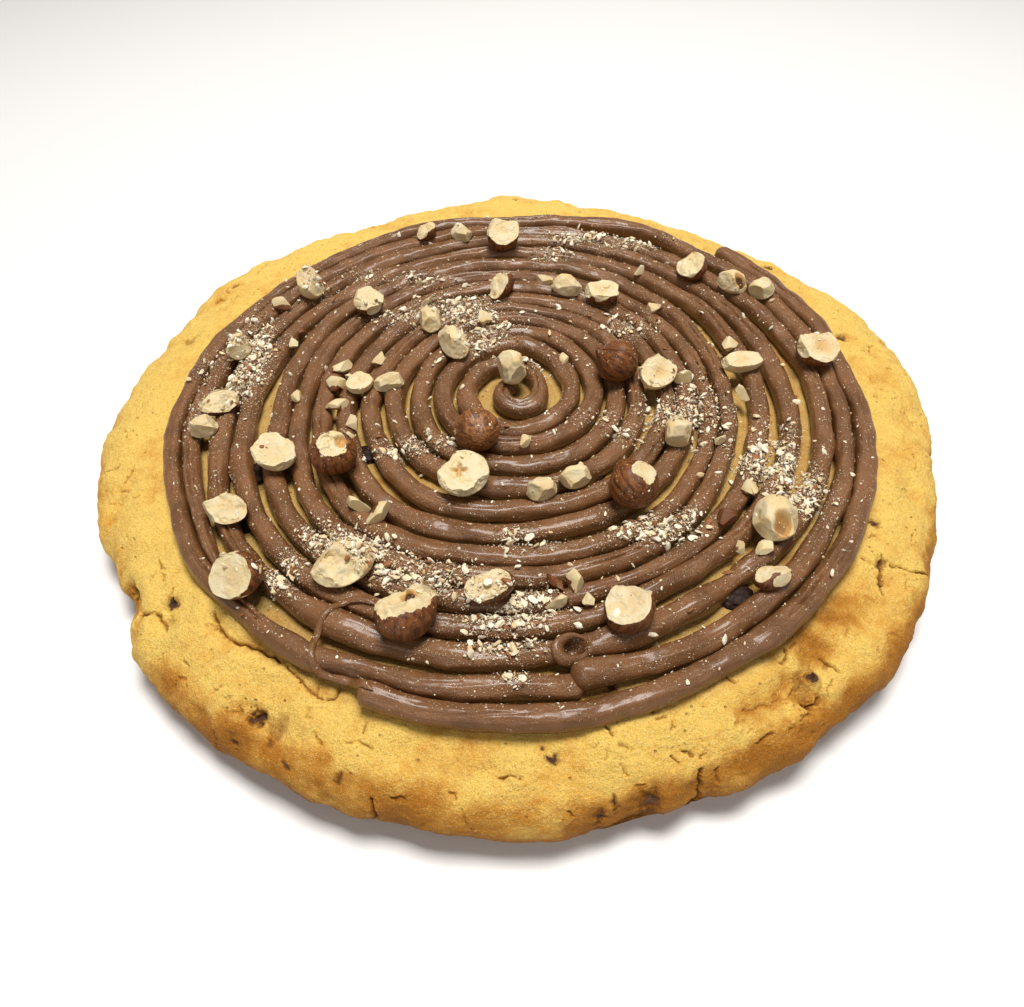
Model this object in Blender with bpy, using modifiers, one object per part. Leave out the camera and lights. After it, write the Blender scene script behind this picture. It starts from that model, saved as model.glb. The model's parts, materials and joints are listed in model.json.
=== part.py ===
# Cookie cake: a thick round cookie with a piped spiral of chocolate spread and broken hazelnuts on top.
# Metres, Z up. The origin lies under the middle of the cookie, on the surface that it rests on.

import math
import random

import bmesh
import bpy
from mathutils import Euler, Matrix, Vector, noise

mm = 0.001
gap = 0.35 * mm

# The cookie, a disc of ten inches with a rounded rim that is widest a little under half its height
cookieRadius = 127.8 * mm
cookieThickness = 20 * mm
rimWidth = 21 * mm
widestHeight = 9 * mm
undercut = 5.5 * mm
cookieSteps = 96
rimLumps = 0.9 * mm
# Swells and hollows of the outline: direction and spread in degrees, rise in mm
outlineSwells = (
    (4, 12, 4.2), (20, 12, 4.4), (53, 17, -3.0), (90, 6, 5.6), (124, 16, -1.4), (146, 13, 5.2),
    (183, 14, 3.0), (210, 8, -2.8), (262, 40, 1.2), (315, 10, 1.8),
)
# Crags of the rim, where chips sit and the crust has cracked: direction, inset from the edge, size, depth
rimCrags = (
    (198, 7, 5, 1.4), (214, 1, 7, 2.4), (221, 11, 5, 2.2), (240, 7, 7, 2.2), (258, 13, 6, 1.0),
    (264, 9, 6, 1.0), (273, 11, 4, 1.2), (280, 1, 6, 1.8), (287, 0, 6, 2.2), (303, 7, 7, 2.2),
    (308, 14, 8, 1.8), (323, 12, 5, 1.4), (338, 10, 5, 1.2), (28, 7, 8, 1.8), (75, 8, 7, 1.6),
    (118, 7, 8, 2.0), (165, 9, 7, 1.6),
)

# The spread, piped as a round rope whose rings lean on each other
spreadCentre = Vector((0.7, -6.9, 0)) * mm
ropeWidth = 6.7 * mm
ropeHeight = 5.0 * mm
ropeStep = 10
# Rings closer than this are one rope, and a rope keeps clear of another's end for so many degrees past it
closestRings = 3 * mm
endRoom = 12
tightRadius = 46 * mm
# The spiral: its radius where it first crosses the left side, its pitch, and how far its rings sit off centre
spiralStart = 14.0
spiralPitch = 7.3
ringsLeft = 2.4
innerRingsBack = 2.8
curlRadius = 5.8
# Where the rope was led astray: turn, direction and spread in degrees, shift in mm
swerves = (
    (0, 262, 40, 1.8), (0, 450, 45, 2.2), (1, 450, 45, 2.4), (2, 450, 45, 2.8), (3, 360, 30, -1.8),
    (3, 450, 40, 1.2), (4, 234, 22, 2.0), (5, 232, 26, 3.4), (5, 360, 40, -1.6), (6, 230, 28, 3.6),
    (6, 300, 22, 1.8), (6, 390, 50, -2.8), (7, 186, 20, -1.8), (7, 222, 26, 3.6), (7, 360, 42, -4.3),
    (8, 184, 18, -2.6), (8, 218, 24, 3.2), (8, 340, 40, -1.8), (9, 220, 28, 3.0), (9, 302, 26, -3.8),
    (9, 440, 36, 1.3), (10, 184, 14, -1.4), (10, 218, 26, 3.4), (10, 300, 24, -2.8), (10, 362, 34, 2.6),
    (11, 190, 30, 1.8),
)
# The two outer rings were piped in strokes of their own: direction in degrees, radius in mm
innerRing = (
    (278, 94.4), (300, 94.7), (360, 96.1), (405, 100.0), (424, 103.6), (450, 99.2), (475, 102.6),
    (490, 100.2), (540, 103.0), (570, 102.6), (598, 101.0), (612, 98.0), (631, 95.8),
)
outerRing = ((250, 103.2), (270, 103.4), (300, 101.0), (360, 101.4), (380, 104.6), (404, 107.0))
spiralTurns = 11.12

# How deep the nuts have sunk into the spread
nutSink = 1.3 * mm
# Whole kernels: place from the spread's centre, size, turn and tilt in degrees
kernels = (
    (29.3, 6.1, 14.0, 20, 60), (-12.7, -21.9, 13.5, 100, 70), (28.6, -43.0, 14.0, 200, 75),
    (-52.0, -29.5, 13.5, 40, 10),
)
# Halves, flat side up: place, length, width, height, turn, tilt
halves = (
    (-16.2, -37.5, 14.0, 13.0, 8.0, 10, 6), (-69.0, -26.9, 13.5, 11.5, 6.5, 150, 8),
    (23.4, -79.9, 13.5, 12.5, 9.0, 70, 14), (-70.8, -68.0, 13.0, 12.5, 8.5, 30, 12),
    (-9.1, -72.6, 12.5, 8.5, 7.0, 15, 12), (42.3, 2.9, 14.0, 10.5, 7.0, 55, 10),
    (68.8, 7.3, 13.5, 6.5, 5.5, 5, 8), (92.8, 11.3, 13.5, 12.0, 7.5, 120, 14),
    (29.3, 44.5, 12.5, 9.5, 6.0, 170, 8), (-49.9, 41.7, 10.5, 10.0, 7.0, 60, 16),
    (-4.2, 78.8, 13.0, 12.0, 11.0, 90, 6), (-48.9, 2.8, 9.0, 7.0, 4.5, 40, 6),
)
# Broken pieces: place, length, width, height, turn
pieces = (
    (-45.4, -64.9, 14.0, 11.0, 7.0, 20), (-28.5, -78.7, 15.0, 13.0, 10.0, 75),
    (-20.8, 20.5, 14.0, 8.5, 7.0, 110), (-72.0, 53.7, 14.0, 9.0, 8.5, 115),
    (64.4, -53.7, 13.0, 11.0, 7.0, 50), (62.1, 58.3, 10.5, 9.5, 7.5, 80), (74.8, 49.8, 11.0, 7.0, 6.0, 140),
    (-2.4, 6.3, 10.5, 9.0, 8.5, 90), (44.3, -22.0, 9.5, 8.5, 7.0, 60), (14.2, -36.8, 9.0, 6.5, 5.0, 25),
    (4.6, -41.2, 8.5, 7.0, 5.5, 0), (-5.5, 50.7, 11.5, 7.5, 6.5, 60), (17.5, 50.5, 11.0, 7.5, 5.5, 150),
    (-90.1, -5.2, 10.5, 7.0, 6.0, 25), (-78.9, -46.0, 11.0, 8.0, 6.0, 165),
    (-28.8, 32.9, 9.5, 7.5, 6.0, 100), (84.2, 45.9, 8.5, 7.5, 5.5, 30), (-89.8, 20.5, 8.5, 7.0, 6.5, 95),
    (-92.9, -14.4, 8.5, 6.5, 5.5, 10), (59.5, -70.7, 9.0, 6.0, 5.0, 20), (-40.1, 3.3, 9.5, 5.5, 4.5, 20),
    (-20.2, 86.7, 9.5, 6.5, 5.0, 130), (-33.5, 87.6, 8.0, 6.5, 6.0, 60),
)

# Chopped pieces smaller than a berry, fused to the spiral: place, length, width, turn
chips = (
    (-30.8, 45.2, 8.0, 4.0, 60), (67.2, 19.0, 7.5, 5.0, 30), (66.4, -4.2, 7.5, 4.0, 115),
    (49.9, 2.8, 6.0, 5.5, 10), (-55.9, 12.6, 8.0, 4.5, 35), (-44.7, 15.9, 8.0, 4.0, 75),
    (-56.4, 3.8, 7.0, 5.0, 170), (-55.2, -5.5, 7.0, 5.0, 20), (-49.5, -13.4, 8.0, 4.5, 130),
    (-50.5, -18.1, 5.0, 3.0, 40), (-44.9, -44.3, 8.0, 5.0, 160), (-38.2, -47.4, 8.0, 5.0, 60),
    (9.9, 56.3, 9.0, 4.5, 145), (-11.7, 35.7, 7.5, 5.5, 110), (52.1, -51.2, 6.5, 5.5, 0),
    (60.4, -61.5, 6.5, 5.0, 40), (53.9, -61.4, 5.5, 4.0, 120), (60.2, -41.3, 7.5, 5.0, 70),
    (7.4, -75.4, 7.0, 4.5, 20), (12.0, -69.8, 6.0, 5.0, 100), (6.2, -69.5, 8.0, 3.0, 120),
    (14.2, -75.0, 4.5, 3.5, 80), (0.7, -22.3, 4.5, 4.5, 0), (14.4, 13.7, 4.5, 3.5, 90),
    (56.2, -23.9, 5.0, 4.5, 60), (45.5, 38.2, 8.0, 5.0, 140), (44.1, 60.5, 6.0, 4.0, 45),
    (-80.8, 45.6, 8.0, 5.0, 160), (-72.0, 31.4, 5.0, 3.0, 80), (-73.8, 24.8, 5.0, 3.5, 100),
    (-68.2, -1.3, 5.0, 3.5, 70),
)
# Finer bits that still show from a step away: middle of each cluster, its reach along X and Y, and how many
bitSeed = 8
bitsWithin = 88 * mm
bitClusters = (
    (-50, -66, 11, 6, 6), (-12, -76, 16, 5, 5), (5, -82, 5, 8, 3), (35, -56, 10, 5, 4), (70, -27, 5, 10, 5),
    (30, 70, 10, 5, 3), (-25, 34, 8, 8, 4), (-82, 16, 6, 9, 3), (33, 27, 6, 6, 2), (-46, -30, 8, 9, 2),
    (0, 0, 62, 62, 4),
)


def smooth(value):
    value = min(max(value, 0.0), 1.0)
    return value * value * (3 - 2 * value)


def swell(angle, middle, spread):
    """A bell of height 1 around a direction, both in degrees, on a full circle."""
    away = (angle - middle + 180) % 360 - 180
    return math.exp(-((away / spread) ** 2))


def clearScene():
    for item in list(bpy.data.objects):
        bpy.data.objects.remove(item, do_unlink=True)


def makeCollection(name):
    collection = bpy.data.collections.new(name)
    bpy.context.scene.collection.children.link(collection)
    return collection


def makeMaterial(name, colour, roughness):
    material = bpy.data.materials.new(name)
    material.use_nodes = True
    shader = material.node_tree.nodes["Principled BSDF"]
    shader.inputs["Base Color"].default_value = (*colour, 1)
    shader.inputs["Roughness"].default_value = roughness
    shader.inputs["Metallic"].default_value = 0
    return material


def makeObject(name, shape, collection, material=None):
    """An object from a bmesh, which is freed. Round pieces are shaded smooth."""
    bmesh.ops.recalc_face_normals(shape, faces=shape.faces)
    mesh = bpy.data.meshes.new(name)
    shape.to_mesh(mesh)
    shape.free()
    mesh.shade_smooth()
    mesh.set_sharp_from_angle(angle=math.radians(45))
    if material:
        mesh.materials.append(material)
    item = bpy.data.objects.new(name, mesh)
    collection.objects.link(item)
    return item


# Cookie

def outlineRadius(degrees):
    rise = sum(height * swell(degrees, middle, spread) for middle, spread, height in outlineSwells)
    turn = math.radians(degrees)
    ripple = noise.noise(Vector((2.2 * math.cos(turn), 2.2 * math.sin(turn), 5.0)))
    return cookieRadius + (rise + 1.0 * ripple) * mm


def rimProfile():
    """Distance from the axis and height, from the top's middle over the rim to the base's middle."""
    plateau = cookieRadius - rimWidth
    points = [(0, cookieThickness), (0.5 * plateau, cookieThickness), (plateau, cookieThickness)]
    for step in (0.25, 0.45, 0.62, 0.76, 0.88, 1.0):
        turn = step * math.pi / 2
        height = widestHeight + (cookieThickness - widestHeight) * math.cos(turn)
        points.append((plateau + rimWidth * math.sin(turn), height))
    for step in (0.4, 0.75, 1.0):
        turn = step * math.pi / 2
        inset = undercut * (1 - math.cos(turn))
        points.append((cookieRadius - inset, widestHeight * (1 - math.sin(turn))))
    points.append((0, 0))
    return points


def turnProfile(name, profile, steps):
    """The closed mesh that a profile sweeps round the Z axis."""
    mesh = bpy.data.meshes.new(name)
    edges = [(i, i + 1) for i in range(len(profile) - 1)]
    mesh.from_pydata([(x, 0, z) for x, z in profile], edges, [])
    item = bpy.data.objects.new(name, mesh)
    bpy.context.scene.collection.objects.link(item)
    screw = item.modifiers.new("turn", "SCREW")
    screw.steps = steps
    screw.render_steps = steps
    screw.use_merge_vertices = True
    screw.merge_threshold = 0.0001
    bpy.context.view_layer.update()
    graph = bpy.context.evaluated_depsgraph_get()
    turned = bpy.data.meshes.new_from_object(item.evaluated_get(graph))
    bpy.data.objects.remove(item, do_unlink=True)
    return turned


def roughenCookie(shape):
    """Gives the turned disc its uneven outline, the lumps of its rim and the crags in its crust."""
    plateau = cookieRadius - rimWidth
    for vertex in shape.verts:
        place = vertex.co
        radius = math.hypot(place.x, place.y)
        if radius < 1e-6:
            continue
        degrees = math.degrees(math.atan2(place.y, place.x)) % 360
        height = place.z
        onRim = smooth((radius - plateau - 3 * mm) / (10 * mm))
        out = Vector((place.x / radius, place.y / radius, 0))
        lump = noise.noise(Vector((place.x, place.y, 1.6 * height)) * 70)
        fine = noise.noise(Vector((place.x, place.y, 2 * height)) * 160)
        push = onRim * rimLumps * (lump + 0.5 * fine)
        inset = cookieRadius - radius
        for middle, depthIn, size, depth in rimCrags:
            along = math.radians((degrees - middle + 180) % 360 - 180) * radius
            away = math.hypot(along, inset - depthIn * mm) / (size * mm)
            if height > 0.3 * widestHeight:
                push -= depth * mm * math.exp(-(away**2))
        level = smooth((height - 0.1 * widestHeight) / cookieThickness)
        newRadius = radius * outlineRadius(degrees) / cookieRadius + push * (1 - level)
        newHeight = height + push * level if height > 0 else 0
        vertex.co = Vector((out.x * newRadius, out.y * newRadius, newHeight))
    for axis in (0, 1):
        sides = [vertex.co[axis] for vertex in shape.verts]
        middle = (min(sides) + max(sides)) / 2
        for vertex in shape.verts:
            vertex.co[axis] -= middle


def makeCookie(collection, material):
    shape = bmesh.new()
    shape.from_mesh(turnProfile("cookie_profile", rimProfile(), cookieSteps))
    bmesh.ops.remove_doubles(shape, verts=shape.verts, dist=0.01 * mm)
    roughenCookie(shape)
    return makeObject("cookie", shape, collection, material)


# Spread

def spiralRadius(degrees):
    """Radius of the spiral's rope. Degrees run on from turn to turn, from 180 at the first left crossing."""
    turns = (degrees - 180) / 360
    turn = math.radians(degrees)
    radius = spiralStart + spiralPitch * turns - ringsLeft * math.cos(turn)
    radius += innerRingsBack * min(max(1 - turns / 4, 0), 1) * math.sin(turn)
    for index, middle, spread, shift in swerves:
        away = degrees - (middle + 360 * index)
        radius += shift * math.exp(-((away / spread) ** 2))
    uncurled = smooth((degrees + 15) / 150)
    return (curlRadius + (radius - curlRadius) * uncurled) * mm


def alongRing(points, degrees):
    for (start, first), (end, second) in zip(points, points[1:]):
        if degrees <= end:
            return (first + (second - first) * smooth((degrees - start) / (end - start))) * mm
    return points[-1][1] * mm


strokes = {
    "piped_spiral": (-215, 180 + 360 * spiralTurns, spiralRadius),
    "piped_ring_inner": (innerRing[0][0], innerRing[-1][0], lambda degrees: alongRing(innerRing, degrees)),
    "piped_ring_outer": (outerRing[0][0], outerRing[-1][0], lambda degrees: alongRing(outerRing, degrees)),
}


def ropesAt(degrees):
    """Radii of every rope that crosses a direction or ends close to it."""
    found = []
    for start, end, radiusAt in strokes.values():
        turn = math.ceil((start - endRoom - degrees) / 360)
        while degrees + 360 * turn <= end + endRoom:
            found.append(radiusAt(degrees + 360 * turn))
            turn += 1
    return found


def ropeStations(start, end, radiusAt):
    """Along a stroke: direction, radius, the room on either side, and the scale of the section."""
    firstGrid = math.ceil((start + 2) / ropeStep) * ropeStep
    angles = list(range(firstGrid, math.floor((end - 2) / ropeStep) * ropeStep + 1, ropeStep))
    angles = [angle for angle in angles if radiusAt(angle) > tightRadius or angle % (2 * ropeStep) == 0]
    stations = []
    for angle in [start, *angles, end]:
        radius = radiusAt(angle)
        inner = [other for other in ropesAt(angle) if other < radius - closestRings]
        outer = [other for other in ropesAt(angle) if other > radius + closestRings]
        wide = ropeWidth / 2 * (1 + 0.1 * noise.noise(Vector((angle / 37, 3.0, 1.0))))
        inside = min([wide, *[(radius - other - gap) / 2 for other in inner]])
        outside = min([wide, *[(other - radius - gap) / 2 for other in outer]])
        stations.append((angle, radius, inside, outside, 1.0))
    # The rope's ends are rounded over half a width
    for index, side in ((0, -1), (-1, 1)):
        angle, radius, inside, outside, _ = stations[index]
        tips = []
        for reach, scale in ((0.55, 0.82), (0.9, 0.42)):
            tipAngle = angle + side * math.degrees(reach * ropeWidth / 2 / radius)
            tips.append((tipAngle, radius, inside * scale, outside * scale, scale))
        stations = [*tips[::-1], *stations] if side < 0 else [*stations, *tips]
    return stations


def ropeSection(station):
    """Six corners of the rope's section, flat below and rounded above."""
    angle, radius, inside, outside, scale = station
    height = ropeHeight * (0.45 + 0.55 * scale) * (1 + 0.06 * noise.noise(Vector((angle / 29, 7.0, 4.0))))
    section = (
        (-0.78 * inside, 0), (-inside, 0.45 * height), (-0.48 * inside, height),
        (0.48 * outside, height), (outside, 0.45 * height), (0.78 * outside, 0),
    )
    turn = math.radians(angle)
    out = Vector((math.cos(turn), math.sin(turn), 0))
    bottom = spreadCentre + Vector((0, 0, cookieThickness + gap))
    return [bottom + out * (radius + side) + Vector((0, 0, rise)) for side, rise in section]


def makeRope(name, collection, material):
    """A loft through the sections of one stroke, closed at both ends."""
    shape = bmesh.new()
    rows = []
    for station in ropeStations(*strokes[name]):
        rows.append([shape.verts.new(point) for point in ropeSection(station)])
    for first, second in zip(rows, rows[1:]):
        for i in range(len(first)):
            j = (i + 1) % len(first)
            shape.faces.new((first[i], first[j], second[j], second[i]))
    shape.faces.new(rows[0])
    shape.faces.new(rows[-1][::-1])
    return makeObject(name, shape, collection, material)


# Hazelnuts

def roundNut(size, sides=8, rings=6):
    shape = bmesh.new()
    bmesh.ops.create_uvsphere(shape, u_segments=sides, v_segments=rings, radius=0.5)
    for vertex in shape.verts:
        bump = 1 + 0.05 * noise.noise(vertex.co * 3 + Vector((size[0], size[1], 0)) * 900)
        vertex.co = Vector((vertex.co.x * size[0], vertex.co.y * size[1], vertex.co.z * size[2])) * bump
    return shape


def cutFlat(shape, place, normal):
    """Takes away what lies past a plane and closes the cut."""
    everything = shape.verts[:] + shape.edges[:] + shape.faces[:]
    cut = bmesh.ops.bisect_plane(shape, geom=everything, plane_co=place, plane_no=normal, clear_outer=True)
    edges = [item for item in cut["geom_cut"] if isinstance(item, bmesh.types.BMEdge)]
    if edges:
        bmesh.ops.edgeloop_fill(shape, edges=edges)
    bmesh.ops.remove_doubles(shape, verts=shape.verts, dist=0.5 * mm)


def kernelShape(size):
    """A whole kernel, round below and drawn out to a blunt tip."""
    shape = roundNut((0.95 * size, 0.95 * size, size))
    for vertex in shape.verts:
        tip = smooth((vertex.co.z / size - 0.1) / 0.4)
        vertex.co.x *= 1 - 0.35 * tip
        vertex.co.y *= 1 - 0.35 * tip
    return shape


def halfShape(length, width, height):
    """A split kernel lying on its round back, with the split face up."""
    shape = roundNut((length, width, 1.7 * height))
    cutFlat(shape, Vector((0, 0, 0.15 * height)), Vector((0, 0, 1)))
    return shape


def pieceShape(length, width, height, seed):
    """A splinter of a kernel, bounded by four broken faces."""
    shape = roundNut((1.12 * length, 1.12 * width, 1.25 * height), 6, 5)
    draw = random.Random(seed)
    for corner in (0, 95, 190, 280):
        turn = math.radians(corner + draw.uniform(-25, 25))
        normal = Vector((math.cos(turn), math.sin(turn), draw.uniform(-0.1, 0.6))).normalized()
        reach = Vector((normal.x * length, normal.y * width, normal.z * height)).length / 2
        cutFlat(shape, normal * reach * draw.uniform(0.74, 0.88), normal)
    return shape


def placeNut(name, shape, x, y, turn, tilt, collection, material):
    """Turns a nut, sets it down and lets it sink a little into the rope's top."""
    rotation = Euler((math.radians(tilt), 0, math.radians(turn)), "XYZ").to_matrix()
    bmesh.ops.rotate(shape, verts=shape.verts, cent=(0, 0, 0), matrix=rotation)
    lowest = min(vertex.co.z for vertex in shape.verts)
    bottom = cookieThickness + gap + ropeHeight - nutSink
    place = spreadCentre + Vector((x * mm, y * mm, bottom - lowest))
    bmesh.ops.triangulate(shape, faces=shape.faces)
    nut = makeObject(name, shape, collection, material)
    nut.location = place
    return nut


def makeNuts(collection, skin, flesh):
    nuts = []
    for index, (x, y, size, turn, tilt) in enumerate(kernels, 1):
        shape = kernelShape(size * mm)
        nuts.append(placeNut(f"kernel_{index}", shape, x, y, turn, tilt, collection, skin))
    for index, (x, y, length, width, height, turn, tilt) in enumerate(halves, 1):
        shape = halfShape(length * mm, width * mm, height * mm)
        nuts.append(placeNut(f"half_{index}", shape, x, y, turn, tilt, collection, flesh))
    for index, (x, y, length, width, height, turn) in enumerate(pieces, 1):
        shape = pieceShape(length * mm, width * mm, height * mm, index)
        nuts.append(placeNut(f"piece_{index}", shape, x, y, turn, 0, collection, flesh))
    return nuts


# Chopped bits and the nests of the nuts

def nearestRope(x, y):
    """The point of the spiral's rope nearest a place, with the rope's direction there."""
    radius = math.hypot(x, y)
    base = math.degrees(math.atan2(y, x)) % 360
    start, end, _ = strokes["piped_spiral"]
    turns = [base + 360 * turn for turn in range(-1, 13) if start < base + 360 * turn < end]
    best = min(turns, key=lambda angle: abs(spiralRadius(angle) - radius))
    return best, spiralRadius(best)


def makeBit(name, place, size, turn, collection):
    """A small lump with broken faces, sized by its half lengths."""
    shape = bmesh.new()
    matrix = Matrix.Translation(place) @ Matrix.Rotation(turn, 4, "Z") @ Matrix.Diagonal((*size, 1))
    bmesh.ops.create_icosphere(shape, subdivisions=1, radius=1, matrix=matrix)
    for vertex in shape.verts:
        vertex.co += noise.noise_vector(vertex.co * 900) * 0.12 * size[0]
    makeObject(name, shape, collection)


def makeBits(nuts, collection):
    """Chips at their places, then finer bits in the crest of the spiral's rope, clear of the nuts."""
    crest = cookieThickness + gap + 0.94 * ropeHeight
    taken = [(nut.location.x, nut.location.y, max(nut.dimensions.x, nut.dimensions.y) / 2) for nut in nuts]
    for index, (x, y, length, width, turn) in enumerate(chips, 1):
        place = spreadCentre + Vector((x * mm, y * mm, crest + 0.1 * width * mm))
        size = Vector((length / 2, width / 2, 0.3 * width)) * mm
        makeBit(f"chip_{index}", place, size, math.radians(turn), collection)
        taken.append((place.x, place.y, length / 2 * mm))
    draw = random.Random(bitSeed)
    for x, y, reachX, reachY, count in bitClusters:
        for index in range(count):
            wantedX = (x + draw.gauss(0, reachX)) * mm
            wantedY = (y + draw.gauss(0, reachY)) * mm
            length = draw.uniform(1.3, 2.5) * mm
            width = draw.uniform(0.9, 1.4) * mm
            askew = draw.uniform(-0.5, 0.5)
            angle, radius = nearestRope(wantedX, wantedY)
            turn = math.radians(angle)
            place = spreadCentre + Vector((radius * math.cos(turn), radius * math.sin(turn), crest))
            near = [math.hypot(place.x - a, place.y - b) < size + length + 0.6 * mm for a, b, size in taken]
            if any(near) or radius > bitsWithin:
                continue
            taken.append((place.x, place.y, length))
            along = turn + math.pi / 2 + askew
            makeBit(f"bit_{len(taken)}", place, (length, width, 0.85 * width), along, collection)


def makeNests(nuts, collection):
    """The nuts grown by the gap, to press their hollows into the rope."""
    for nut in nuts:
        shape = bmesh.new()
        shape.from_mesh(nut.data)
        bmesh.ops.translate(shape, verts=shape.verts, vec=nut.location)
        shape.normal_update()
        grown = [(vertex, vertex.co + vertex.normal * 1.35 * gap) for vertex in shape.verts]
        for vertex, place in grown:
            vertex.co = place
        makeObject(f"nest_of_{nut.name}", shape, collection)


def applyBoolean(item, operation, operands):
    """One Boolean on a collection, applied. The collection's objects stay."""
    cut = item.modifiers.new(operation.lower(), "BOOLEAN")
    cut.operation = operation
    cut.operand_type = "COLLECTION"
    cut.collection = operands
    cut.solver = "EXACT"
    bpy.context.view_layer.update()
    graph = bpy.context.evaluated_depsgraph_get()
    mesh = bpy.data.meshes.new_from_object(item.evaluated_get(graph))
    item.modifiers.remove(cut)
    item.data = mesh


def dropScraps(item):
    """Keeps the largest body of a mesh."""
    shape = bmesh.new()
    shape.from_mesh(item.data)
    bmesh.ops.remove_doubles(shape, verts=shape.verts, dist=0.002 * mm)
    left = set(shape.verts)
    bodies = []
    while left:
        body = set()
        front = [left.pop()]
        while front:
            vertex = front.pop()
            body.add(vertex)
            near = [edge.other_vert(vertex) for edge in vertex.link_edges]
            front.extend(other for other in near if other in left)
            left.difference_update(near)
        bodies.append(body)
    bodies.sort(key=len)
    for body in bodies[:-1]:
        bmesh.ops.delete(shape, geom=list(body), context="VERTS")
    bmesh.ops.triangulate(shape, faces=shape.faces)
    shape.to_mesh(item.data)
    shape.free()


def emptyCollection(collection):
    for item in list(collection.objects):
        bpy.data.objects.remove(item, do_unlink=True)
    bpy.data.collections.remove(collection)


def main():
    clearScene()
    cake = makeCollection("cookie_cake")
    dough = makeMaterial("baked_dough", (0.82, 0.52, 0.17), 0.75)
    chocolate = makeMaterial("chocolate_spread", (0.15, 0.06, 0.032), 0.35)
    skin = makeMaterial("hazelnut_skin", (0.26, 0.085, 0.025), 0.55)
    flesh = makeMaterial("hazelnut_flesh", (0.87, 0.76, 0.52), 0.6)
    makeCookie(cake, dough)
    ropes = [makeRope(name, cake, chocolate) for name in strokes]
    nuts = makeNuts(cake, skin, flesh)
    bits = makeCollection("bits")
    makeBits(nuts, bits)
    applyBoolean(ropes[0], "UNION", bits)
    emptyCollection(bits)
    nests = makeCollection("nests")
    makeNests(nuts, nests)
    for rope in ropes:
        applyBoolean(rope, "DIFFERENCE", nests)
        dropScraps(rope)
    emptyCollection(nests)


main()
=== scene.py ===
import math
import random

import bpy
import numpy as np
from mathutils import Euler, Matrix, Vector, noise
from mathutils.bvhtree import BVHTree
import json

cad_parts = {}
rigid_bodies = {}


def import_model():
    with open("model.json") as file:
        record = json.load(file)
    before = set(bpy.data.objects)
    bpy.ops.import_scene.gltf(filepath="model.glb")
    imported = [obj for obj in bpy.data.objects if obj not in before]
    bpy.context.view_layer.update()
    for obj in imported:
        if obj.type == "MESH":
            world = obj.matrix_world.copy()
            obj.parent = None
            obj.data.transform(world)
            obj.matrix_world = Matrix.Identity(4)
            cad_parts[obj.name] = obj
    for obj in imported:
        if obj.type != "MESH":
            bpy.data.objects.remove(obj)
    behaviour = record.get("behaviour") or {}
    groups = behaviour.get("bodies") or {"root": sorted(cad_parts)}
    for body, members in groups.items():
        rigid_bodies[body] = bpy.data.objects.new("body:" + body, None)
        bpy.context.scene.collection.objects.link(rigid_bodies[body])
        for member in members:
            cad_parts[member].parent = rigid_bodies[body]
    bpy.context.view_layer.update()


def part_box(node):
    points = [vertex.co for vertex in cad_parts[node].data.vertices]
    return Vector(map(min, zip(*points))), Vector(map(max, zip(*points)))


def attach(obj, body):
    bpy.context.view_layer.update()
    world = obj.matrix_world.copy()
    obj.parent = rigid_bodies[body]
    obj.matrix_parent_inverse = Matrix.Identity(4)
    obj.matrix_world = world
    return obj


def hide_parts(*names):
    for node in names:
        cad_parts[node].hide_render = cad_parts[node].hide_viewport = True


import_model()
mm = 0.001
noise.seed_set(12)

print("clearing the startup scene")
for name in ("Cube", "Light", "Camera"):
    if name in bpy.data.objects:
        bpy.data.objects.remove(bpy.data.objects[name], do_unlink=True)


# Small helpers

def smooth(value):
    value = min(max(value, 0.0), 1.0)
    return value * value * (3 - 2 * value)


def rough(place, scale, seed=0.0):  # soft noise from about -1 to 1, scale in lumps for each mm
    return noise.noise(Vector(place) * scale + Vector((seed, 2.3 * seed, 0.7 * seed)))


def roughAll(places, scale, seed=0.0):
    return np.array([rough(place, scale, seed) for place in places])


def wavy(*place):
    return noise.noise(Vector(place))


def softened(values, weights):  # a running mean, with the ends held
    weights = weights / np.sum(weights)
    return np.convolve(np.pad(values, len(weights) // 2, mode="edge"), weights, mode="valid")


def deselectAll():
    if bpy.context.object and bpy.context.object.mode != "OBJECT":
        bpy.ops.object.mode_set(mode="OBJECT")
    bpy.ops.object.select_all(action="DESELECT")


def pick(item):  # selects one object alone
    deselectAll()
    item.select_set(True)
    bpy.context.view_layer.objects.active = item


def named(name):  # the object that an operator has just added
    item = bpy.context.object
    item.name = name
    item.data.name = name
    return item


def pointsOf(mesh):
    points = np.empty(len(mesh.vertices) * 3, np.float32)
    mesh.vertices.foreach_get("co", points)
    return points.reshape(-1, 3).astype(float)


def setPoints(mesh, points):
    mesh.vertices.foreach_set("co", np.asarray(points, np.float32).ravel())
    mesh.update()


def setAttributes(item, **attributes):  # for each point a number, or a vector
    for name, values in attributes.items():
        values = np.asarray(values, np.float32)
        kind, key = ("FLOAT_VECTOR", "vector") if values.ndim == 2 else ("FLOAT", "value")
        item.data.attributes.new(name, kind, "POINT").data.foreach_set(key, values.ravel())


def keepInside(places, node):  # places in mm, held within the sides of a CAD node's box
    low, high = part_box(node)
    for axis in (0, 1):
        places[:, axis] = np.clip(places[:, axis], low[axis] / mm, high[axis] / mm)


def closeSeams(item, distance=0.004 * mm):
    pick(item)
    bpy.ops.object.mode_set(mode="EDIT")
    bpy.ops.mesh.select_all(action="SELECT")
    bpy.ops.mesh.remove_doubles(threshold=distance)
    bpy.ops.mesh.dissolve_degenerate(threshold=distance)
    bpy.ops.mesh.select_all(action="SELECT")
    bpy.ops.mesh.normals_make_consistent(inside=False)
    bpy.ops.object.mode_set(mode="OBJECT")


def addGrid(name, across, along):  # a plane grid, with its columns and rows from 0 to 1
    deselectAll()
    bpy.ops.mesh.primitive_grid_add(x_subdivisions=across, y_subdivisions=along, size=1)
    item = named(name)
    return item, pointsOf(item.data)[:, :2] + 0.5


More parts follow.
